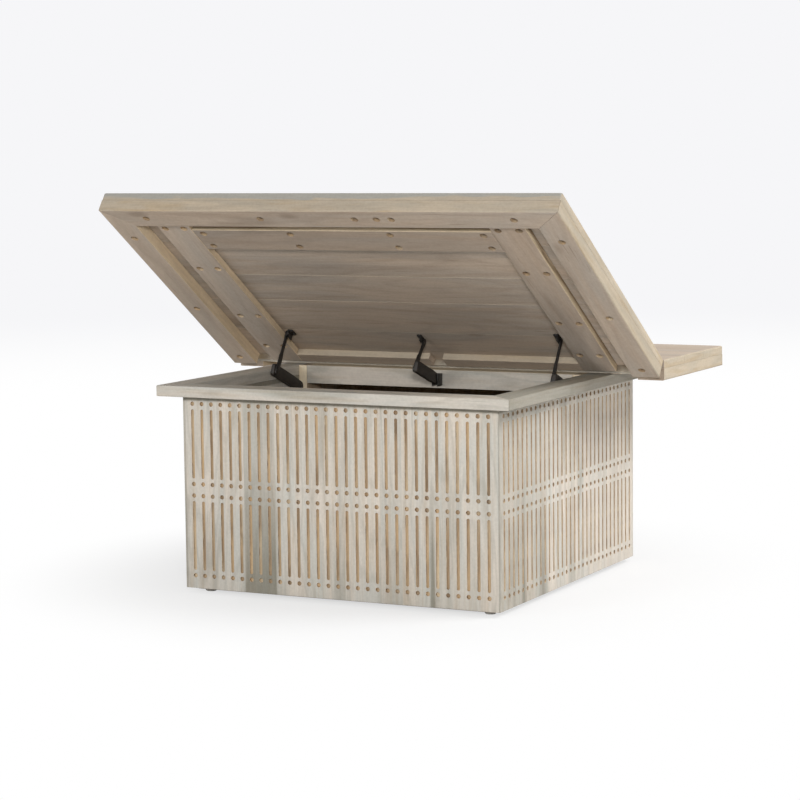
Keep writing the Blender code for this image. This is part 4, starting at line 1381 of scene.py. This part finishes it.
class HeadKind(Enum):
    """Kinds of fastener head: radius, height, dome, slot width, slot depth, finish and material slot."""

    SCREW = (0.0042, 0.0026, 0.0011, 0.0011, 0.0024, PHOSPHATE, "hinge_steel")
    SMALL_SCREW = (0.0030, 0.0008, 0.0013, 0.0008, 0.0016, POWDER_COAT, "black_steel")
    RIVET = (0.0052, 0.0006, 0.0016, 0.0, 0.0, POWDER_COAT, "black_steel")

    def set_out(
        self, name: str, places: Sequence[Vector], turn: Matrix, carrier: Carrier, heads: GrowTree
    ) -> None:
        """Sets heads of this kind at a set of places.

        Args:
            name: Name of the piece that holds them all.
            places: Where each head sits, with the lid closed.
            turn: Turns -Z to the way that the heads face.
            carrier: What moves them.
            heads: Tree that makes them.
        """
        *sizes, coat, slot = self.value
        labels = ("Radius", "Height", "Dome", "Slot Width", "Slot Depth")
        back = turn.inverted()
        mesh = bpy.data.meshes.new(name)
        mesh.from_pydata([tuple(back @ place) for place in places], [], [])
        piece = new_object(name, mesh)
        heads.apply(piece, dict(zip(labels, sizes)) | {"Finish": finish(coat)})
        settle(piece)
        shade_round(piece.data, TURNED_BEND)
        piece.data.transform(turn)
        mount(piece, carrier)


@dataclass
class ContinuousHinge:
    """Rolled continuous hinge in the gap between the lid and the rear top."""

    base: Carrier
    lid: Carrier
    axis: Vector
    half: float = 0.478
    knuckles: int = 17
    gap: float = 0.0005
    radius: float = 0.0032
    pin_radius: float = 0.0015
    pin_sides: int = 16
    peen_width: float = 0.7
    peen_reach: float = 0.4
    leaf_height: float = 0.028
    leaf_thickness: float = 0.002
    leaf_offset: float = 0.0022

    def build(self, tree: GrowTree) -> None:
        """Makes both leaves with their knuckles, and the pin, and puts them on their bodies.

        Args:
            tree: Tree that rolls the knuckles.
        """
        pitch = (2 * self.half + self.gap) / self.knuckles
        for parity, y_side, carrier, node_name in (
            (0, 1, self.base, "hinge_leaf_fixed"),
            (1, -1, self.lid, "hinge_leaf_lid"),
        ):
            mesh = to_mesh(f"{node_name}_rolled", self.leaf(parity, y_side, pitch))
            piece = new_object(mesh.name, mesh)
            rolling = {
                "Count": (self.knuckles + 1 - parity) // 2,
                "Start": -self.half + parity * pitch + (pitch - self.gap) / 2,
                "Step": 2 * pitch, "Length": pitch - self.gap, "Radius": self.radius,
            }
            tree.apply(piece, rolling | {"Finish": finish(ZINC)})
            settle(piece)
            shade_round(piece.data, TURNED_BEND)
            piece.data.transform(Matrix.Translation(self.axis))
            mount(piece, carrier, [node_name])
        self.build_pin()

    def leaf(self, parity: int, y_side: int, pitch: float) -> bmesh.types.BMesh:
        """Makes the plate of one leaf, with a neck up to each of its knuckles.

        Args:
            parity: Which knuckles are its own.
            y_side: Side of the gap that it lies on.
            pitch: Knuckle pitch.

        Returns:
            The plate, about the hinge axis.
        """
        shoulder = -self.radius - self.gap
        loop = [(-self.half, -self.leaf_height), (self.half, -self.leaf_height), (self.half, shoulder)]
        for index in reversed(range(parity, self.knuckles, 2)):
            start = -self.half + index * pitch
            end = start + pitch - self.gap
            loop += [(end, shoulder), (end, 0.0), (start, 0.0), (start, shoulder)]
        loop.append((-self.half, shoulder))
        loop = [p for i, p in enumerate(loop) if (Vector(p) - Vector(loop[i - 1])).length > TOUCH]
        bm = prism(loop, self.leaf_thickness)
        place = Matrix.Translation((0.0, y_side * self.leaf_offset, 0.0))
        bm.transform(place @ Matrix.Rotation(QUARTER, 4, "X"))
        return bm

    def build_pin(self) -> None:
        """Makes the pin with its peened ends."""
        bm = bmesh.new()
        half, tip = self.half, self.peen_width
        peen = self.pin_radius * self.peen_reach
        rings = []
        for x, share in ((-half, tip), (peen - half, 1.0), (half - peen, 1.0), (half, tip)):
            circle = arc((0.0, 0.0), self.pin_radius * share, 0.0, 2 * math.pi, self.pin_sides)[:-1]
            rings.append([bm.verts.new((x, y, z)) for y, z in circle])
        for near, far in zip(rings, rings[1:]):
            for index in range(self.pin_sides):
                bm.faces.new((near[index - 1], far[index - 1], far[index], near[index]))
        bm.faces.new(rings[0])
        bm.faces.new(rings[-1])
        bmesh.ops.recalc_face_normals(bm, faces=bm.faces)
        place = Matrix.Translation(self.axis)
        mount_coated(bm, "hinge_pin", "peened", TURNED_BEND, ZINC, place, self.base)


@dataclass
class FoldingStay:
    """One folding lid stay: foot, link, arm and lid bracket, with its rivets and screws."""

    name: str
    arm_x: float
    side: int
    reach: float
    drop: float
    on_wall: bool
    strap_back: float
    base: Carrier
    lid: Carrier
    hinge: Vector
    angle: float
    pivot_inset: float = 0.0125
    pivot_drop: float = 0.0085
    run_gap: float = 0.0005
    edge: float = 0.0007
    rim_bend: float = math.radians(35)
    link_thickness: float = 0.008
    link_foot: float = 0.011
    link_half: float = 0.0128
    link_corner: float = 0.005
    link_nose: float = 0.010
    arm_thickness: float = 0.003
    arm_eye: float = 0.0066
    arm_neck: float = 0.0050
    fork_half: float = 0.0070
    fork_share: float = 0.62
    fork_tail: float = 0.012
    shoulder: float = 0.008
    foot_thickness: float = 0.003
    foot_length: float = 0.040
    foot_height: float = 0.026
    foot_corner: float = 0.004
    bracket_thickness: float = 0.0025
    strap_length: float = 0.024
    strap_width: float = 0.012
    strap_corner: float = 0.004

    def pivots(self) -> tuple[Vector, Vector, Vector]:
        """Foot pivot, knuckle and lid pivot in Y and Z, with the lid closed.

        Returns:
            The three pivots.
        """
        step = Vector((BRIDGE_FRONT_Y - self.pivot_inset - self.hinge.y, -self.drop))
        top = Vector((LID_BACK_Y - self.reach, PLANK_BASE_Z - self.pivot_drop))
        return Vector((self.hinge.y, self.hinge.z)) + step, top + step, top

    def build(self, heads: GrowTree) -> None:
        """Makes the stay's pieces and puts them on their bodies.

        Args:
            heads: Tree that makes fastener heads.
        """
        foot, knuckle, top = self.pivots()
        link = self.base.turned(f"link_{self.name}", Vector((self.arm_x, *foot)), -self.angle)
        arm = self.lid.turned(f"arm_{self.name}", Vector((self.arm_x, *top)), self.angle)
        side = self.side
        arm_back = self.arm_x - side * self.arm_thickness / 2
        arm_front = self.arm_x + side * self.arm_thickness / 2
        link_near = arm_front + side * self.run_gap
        link_far = link_near + side * self.link_thickness
        web_near = arm_back - side * self.run_gap
        web_far = web_near - side * self.bracket_thickness
        self.plate("link", self.link_outline(foot, knuckle), (link_near, link_far), link, LINK_COVER)
        self.plate("arm", self.arm_outline(top, knuckle), (arm_back, arm_front), arm)
        self.build_bracket(top, web_near, web_far)
        foot_face = link_near
        if self.on_wall:
            self.build_foot_plate(foot, link_far + side * self.run_gap)
        else:
            self.build_foot_channel(foot, arm_back, link_far + side * (self.run_gap + self.foot_thickness))
            foot_face = arm_back
        inwards = Matrix.Rotation(side * QUARTER, 4, "Y")
        for part, x, pivot, carrier in (
            ("knuckle", arm_back, knuckle, link),
            ("foot", foot_face, foot, self.base),
            ("lid", web_far, top, self.lid),
        ):
            place = Vector((x, *pivot))
            HeadKind.RIVET.set_out(f"stay_{self.name}_{part}_rivet", [place], inwards, carrier, heads)
        strap_x = web_far - side * (self.strap_width - self.bracket_thickness) / 2
        strap_z = PLANK_BASE_Z - SEAT_GAP - self.bracket_thickness
        strap_y = top.x + self.strap_back - self.strap_length / 2
        screws = [Vector((strap_x, strap_y + end * self.strap_length / 4, strap_z)) for end in (-1, 1)]
        name = f"stay_{self.name}_strap_screws"
        HeadKind.SMALL_SCREW.set_out(name, screws, Matrix.Identity(4), self.lid, heads)

    def plate(
        self, part: str, outline: Outline, faces: Point, carrier: Carrier, coat: CoatFinish = POWDER_COAT
    ) -> None:
        """Makes a pressed plate that lies across X, with rounded edges.

        Args:
            part: Which piece of the stay.
            outline: Its outline in Y and Z.
            faces: Where its two faces lie.
            carrier: What moves it.
            coat: Its finish.
        """
        bm = prism(outline, abs(faces[1] - faces[0]))
        self.press(part, bm, axes((sum(faces) / 2, 0.0, 0.0), (0, 1, 0), (1, 0, 0)), carrier, coat)

    def press(
        self,
        part: str,
        bm: bmesh.types.BMesh,
        place: Matrix,
        carrier: Carrier,
        coat: CoatFinish = POWDER_COAT,
    ) -> None:
        """Rounds a plate's edges, coats it and puts it on its body.

        Args:
            part: Which piece of the stay.
            bm: The plate.
            place: Plate coordinates to closed-lid coordinates.
            carrier: What moves it.
            coat: Its finish.
        """
        rims = [e for e in bm.edges if e.calc_face_angle(0.0) > self.rim_bend]
        bmesh.ops.bevel(bm, geom=rims, offset=self.edge, segments=2, profile=0.5, affect="EDGES")
        name = f"stay_{self.name}_{part}"
        mount_coated(bm, name, "pressed", PRESSED_BEND, coat, place, carrier)

    def bar(self, start: Vector, end: Vector, outline: Outline) -> Outline:
        """Lays an outline, drawn along a bar from its start, between two points.

        Args:
            start: Where the bar's own zero lies.
            end: Point that its own x axis runs to.
            outline: Points along and across the bar.

        Returns:
            The points in Y and Z.
        """
        ahead = (end - start).normalized()
        across = Vector((-ahead.y, ahead.x))
        return [tuple(start + ahead * x + across * y) for x, y in outline]

    def link_outline(self, foot: Vector, knuckle: Vector) -> Outline:
        """Housing with a round end at the foot and a square nose past the knuckle.

        Args:
            foot: Foot pivot.
            knuckle: Knuckle.

        Returns:
            Its outline.
        """
        length = (knuckle - foot).length
        nose_x = length + self.link_nose - self.link_corner
        nose_y = self.link_half - self.link_corner
        loop = arc((0.0, 0.0), self.link_foot, QUARTER, 3 * QUARTER)
        loop += [(length / 3, -self.link_half)]
        loop += arc((nose_x, -nose_y), self.link_corner, -QUARTER, 0.0, 5)
        loop += arc((nose_x, nose_y), self.link_corner, 0.0, QUARTER, 5)
        loop += [(length / 3, self.link_half)]
        return self.bar(foot, knuckle, loop)

    def arm_outline(self, top: Vector, knuckle: Vector) -> Outline:
        """Narrow bar with a round eye at the lid and a wider end that reaches past the knuckle.

        Args:
            top: Lid pivot.
            knuckle: Knuckle.

        Returns:
            Its outline.
        """
        length = (knuckle - top).length
        fork = length * self.fork_share
        wide = self.arm_neck
        neck = ((self.arm_eye + self.shoulder, wide), (fork - self.shoulder, wide), (fork, self.fork_half))
        loop = arc((0.0, 0.0), self.arm_eye, QUARTER, 3 * QUARTER)
        loop += [(x, -y) for x, y in neck]
        loop += arc((length + self.fork_tail - self.fork_half, 0.0), self.fork_half, -QUARTER, QUARTER)
        loop += list(reversed(neck))
        return self.bar(top, knuckle, loop)

    def build_foot_plate(self, foot: Vector, near: float) -> None:
        """Makes the foot on a side wall: a flat plate.

        Args:
            foot: Foot pivot.
            near: Face towards the link.
        """
        back = foot.x + self.link_foot
        low = (back - self.foot_length, foot.y - self.foot_height / 2)
        high = (back, foot.y + self.foot_height / 2)
        faces = (near, near + self.side * self.foot_thickness)
        self.plate("foot", rounded(low, high, self.foot_corner), faces, self.base)

    def build_foot_channel(self, foot: Vector, low_x: float, high_x: float) -> None:
        """Makes the foot on the cross rail: a channel whose cheeks hold the link.

        Args:
            foot: Foot pivot.
            low_x: Outer face of one cheek.
            high_x: Outer face of the other.
        """
        back = BRIDGE_FRONT_Y - SEAT_GAP
        face = back - self.foot_thickness
        front = foot.x - self.link_foot
        low_in, high_in = low_x + self.foot_thickness, high_x - self.foot_thickness
        corners = [
            (low_x, front), (low_in, front), (low_in, face), (high_in, face),
            (high_in, front), (high_x, front), (high_x, back), (low_x, back),
        ]
        bm = prism(corners, self.foot_height)
        self.press("foot", bm, Matrix.Translation((0.0, 0.0, foot.y)), self.base)

    def build_bracket(self, top: Vector, web_near: float, web_far: float) -> None:
        """Makes the lid bracket: a web beside the arm and a strap under the planks.

        Args:
            top: Lid pivot.
            web_near: Web face towards the arm.
            web_far: Web's other face.
        """
        strap_top = PLANK_BASE_Z - SEAT_GAP
        strap_base = strap_top - self.bracket_thickness
        web_base = top.y - self.arm_eye
        strap_end = web_near - self.side * self.strap_width
        corners = [
            (web_near, web_base), (web_near, strap_top), (strap_end, strap_top),
            (strap_end, strap_base), (web_far, strap_base), (web_far, web_base),
        ]
        bm = prism(corners, self.strap_length)
        tips = [e for e in bm.edges if all(abs(v.co.x - strap_end) < TOUCH for v in e.verts)]
        tips = [e for e in tips if abs(e.verts[0].co.z - e.verts[1].co.z) < TOUCH]
        bmesh.ops.bevel(bm, geom=tips, offset=self.strap_corner, segments=4, profile=0.5, affect="EDGES")
        middle = top.x + self.strap_back - self.strap_length / 2
        place = Matrix.Translation((0.0, middle, 0.0)) @ Matrix.Rotation(QUARTER, 4, "X")
        self.press("bracket", bm, place, self.lid)


@dataclass
class Glides:
    """Round glides under the corners, turned from one profile."""

    carrier: Carrier
    reach: float = 0.3183
    profile: tuple[Point, ...] = (
        (0.0, 0.0), (0.0092, 0.0), (0.0104, 0.0006), (0.0118, 0.0026), (0.0125, 0.0042), (0.0125, 0.0052),
        (0.0120, 0.0057), (0.0, 0.0057),
    )
    sides: int = 36
    weld: float = 0.00002

    def build(self) -> None:
        """Turns one glide for each corner."""
        for x_side, x_name in SIDES_X:
            for y_side, y_name in SIDES_Y:
                bm = bmesh.new()
                spine = [bm.verts.new((r, 0.0, z)) for r, z in self.profile]
                edges = [bm.edges.new(pair) for pair in zip(spine, spine[1:])]
                bmesh.ops.spin(
                    bm, geom=spine + edges, cent=(0, 0, 0), axis=(0, 0, 1), angle=2 * math.pi,
                    steps=self.sides, use_merge=True,
                )
                bmesh.ops.remove_doubles(bm, verts=bm.verts, dist=self.weld)
                bmesh.ops.recalc_face_normals(bm, faces=bm.faces)
                name = f"glide_{y_name}_{x_name}"
                place = Matrix.Translation((x_side * self.reach, y_side * self.reach, 0.0))
                mount_coated(
                    bm, name, "turned", PRESSED_BEND, GREY_NYLON, place, self.carrier
                )


@dataclass
class Studio:
    """White studio: floor, soft light and the photograph's camera."""

    eye: tuple[float, float, float] = (2.2845, -4.6695, 0.9249)
    yaw: float = math.radians(26.629)
    pitch: float = math.radians(-6.05)
    roll: float = math.radians(-0.655)
    lens_mm: float = 110.2
    sensor_mm: float = 36.0
    floor_radius: float = 9.0
    white_m: Point = (0.40, 0.95)
    fade_m: Point = (4.0, 8.5)
    floor_colour: str = "#E6E6E6"
    backdrop: str = "#F6F6F8"
    ambient: float = 0.34
    floor_lift: float = 0.65
    # Name, place, aim, size and watts
    softboxes: tuple[tuple[str, Sequence[float], Sequence[float], Point, float], ...] = (
        ("right_softbox", (2.8, 0.9, 2.9), (0.2, 0.0, 0.25), (2.0, 1.6), 120.0),
        ("overhead_softbox", (0.3, 1.6, 3.4), (0.0, 0.2, 0.4), (3.0, 3.0), 18.0),
        ("left_front_softbox", (-1.7, -4.0, 1.5), (0.0, -0.2, 0.35), (1.8, 0.8), 43.0),
        ("right_front_softbox", (2.35, -4.5, 1.55), (0.1, -0.2, 0.4), (0.6, 0.5), 96.0),
    )

    def build(self) -> None:
        """Makes camera, floor, lights and world."""
        self.build_camera()
        self.build_floor()
        self.build_world()
        for softbox in self.softboxes:
            self.add_softbox(*softbox)
        bpy.context.scene.view_settings.view_transform = "Standard"

    def build_camera(self) -> None:
        """Places the camera where the photograph was taken from."""
        flat = math.cos(self.pitch)
        ahead = Vector((-math.sin(self.yaw) * flat, math.cos(self.yaw) * flat, math.sin(self.pitch)))
        level = Vector((math.cos(self.yaw), math.sin(self.yaw), 0.0))
        rise = level.cross(ahead)
        right = level * math.cos(self.roll) + rise * math.sin(self.roll)
        above = rise * math.cos(self.roll) - level * math.sin(self.roll)
        data = bpy.data.cameras.new("photo_camera")
        data.sensor_fit = "HORIZONTAL"
        data.sensor_width = self.sensor_mm
        data.lens = self.lens_mm
        camera = bpy.data.objects.new("photo_camera", data)
        bpy.context.scene.collection.objects.link(camera)
        turn = Matrix((right, above, -ahead)).transposed().to_4x4()
        camera.matrix_world = Matrix.Translation(self.eye) @ turn
        bpy.context.scene.camera = camera

    def build_floor(self) -> None:
        """Makes a pale floor that fades into the backdrop far from the table."""
        bm = bmesh.new()
        bmesh.ops.create_circle(bm, cap_ends=True, segments=96, radius=self.floor_radius)
        mesh = to_mesh("studio_floor", bm)
        made, tree, shader = blank_material("white_studio_floor")
        shader.inputs["Base Color"].default_value = linear(self.floor_colour)
        shader.inputs["Roughness"].default_value = 0.9
        shader.inputs["Specular IOR Level"].default_value = 0.1
        seen = node(tree, "ShaderNodeLightPath", out="Is Camera Ray")
        place = node(tree, "ShaderNodeTexCoord", out="Object")
        away = node(tree, "ShaderNodeVectorMath", {0: place}, operation="LENGTH", out="Value")
        white, fade = (
            node(tree, "ShaderNodeMapRange", dict(zip(RANGE, (away, *span))), interpolation_type="SMOOTHSTEP")
            for span in (self.white_m, self.fade_m)
        )
        mixed = shader.outputs[0]
        for share, colour in ((self.floor_lift, "#FFFFFF"), (white, "#FFFFFF"), (fade, self.backdrop)):
            shown = node(tree, "ShaderNodeMath", {0: share, 1: seen}, operation="MULTIPLY")
            glow = node(tree, "ShaderNodeEmission", {"Color": linear(colour), "Strength": 1.0})
            mixed = node(tree, "ShaderNodeMixShader", {0: shown, 1: mixed, 2: glow})
        tree.links.new(mixed, tree.nodes["Material Output"].inputs["Surface"])
        mesh.materials.append(made)
        new_object(mesh.name, mesh)

    def build_world(self) -> None:
        """Makes even white light, and the backdrop that camera, mirror and glass rays see."""
        world = bpy.data.worlds.new("studio")
        bpy.context.scene.world = world
        world.use_nodes = True
        tree = world.node_tree
        light = tree.nodes["Background"]
        light.inputs["Color"].default_value = (1.0, 1.0, 1.0, 1.0)
        light.inputs["Strength"].default_value = self.ambient
        shown = node(tree, "ShaderNodeBackground", {"Color": linear(self.backdrop), "Strength": 1.0})
        path = node(tree, "ShaderNodeLightPath").node.outputs
        seen = path["Is Camera Ray"]
        for ray in ("Is Glossy Ray", "Is Transmission Ray"):
            seen = node(tree, "ShaderNodeMath", {0: seen, 1: path[ray]}, operation="MAXIMUM")
        mixed = node(tree, "ShaderNodeMixShader", {0: seen, 1: light.outputs[0], 2: shown})
        tree.links.new(mixed, tree.nodes["World Output"].inputs["Surface"])

    def add_softbox(
        self, name: str, place: Sequence[float], aim: Sequence[float], size: Point, watts: float
    ) -> None:
        """Adds a soft rectangular light.

        Args:
            name: Its name.
            place: Where it stands.
            aim: Point that it faces.
            size: Width and height.
            watts: Power.
        """
        data = bpy.data.lights.new(name, "AREA")
        data.shape = "RECTANGLE"
        data.size, data.size_y = size
        data.energy = watts
        lamp = bpy.data.objects.new(name, data)
        bpy.context.scene.collection.objects.link(lamp)
        lamp.location = place
        lamp.rotation_euler = (Vector(aim) - Vector(place)).to_track_quat("-Z", "Y").to_euler()


def main() -> None:
    """Builds and dresses the table, then the studio."""
    logging.basicConfig(level=logging.INFO, format="%(name)s: %(message)s")
    low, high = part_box("bottom_panel")
    base = Carrier("base", Matrix.Translation((0.0, (low.y + high.y) / 2, 0.0)))
    hinge = next(joint for joint in frame["joints"] if joint["name"] == "lid_hinge")
    axis = base.matrix.inverted() @ Vector(hinge["pos_m"])
    angle = math.radians(-hinge["range_deg"][0])
    lid = base.turned("lid", axis, -angle)
    bores = counterbore_tree()
    heads = head_tree()

    box = CarvedBox(base)
    box.build(flute_tree(), bores)
    box.dress()
    bridge = Bridge(base)
    bridge.build(bores)
    bridge.dress()
    Glides(base).build()
    rear = TopPart(
        base, "rear", "back", REAR_FRONT_Y, TOP_SIDE, plank_widths=(0.122, 0.122, 0.122),
        end_screw_x=(-0.142, 0.142), side_reach=(0.060,), batten_reach=(0.040, 0.165),
    )
    # The rear top has paler planks and a paler right border than the lid
    rear.tones |= {"plank": 0.66, "border_right": 0.62}
    front = TopPart(
        lid, "lid", "front", LID_BACK_Y, -TOP_SIDE, plank_widths=(0.118, 0.128, 0.106, 0.128, 0.163),
        end_screw_x=(-0.142, 0.069, 0.117, 0.149), side_reach=(0.030, 0.245),
        batten_reach=(0.067, 0.200, 0.398), notch=(-0.012, 0.020), tight_joints=(1,),
    )
    for part in (rear, front):
        part.build(bores)
        part.dress()
        part.set_screws(heads)
    ContinuousHinge(base, lid, axis).build(knuckle_tree())
    for name, arm_x, side, reach, drop, on_wall, strap_back in (
        ("left", -0.3238, -1, 0.112, 0.076, True, 0.018),
        ("right", 0.3238, 1, 0.112, 0.076, True, 0.006),
        ("middle", 0.002, 1, 0.093, 0.050, False, 0.006),
    ):
        FoldingStay(name, arm_x, side, reach, drop, on_wall, strap_back, base, lid, axis, angle).build(heads)
    Studio().build()


if __name__ == "__main__":
    main()
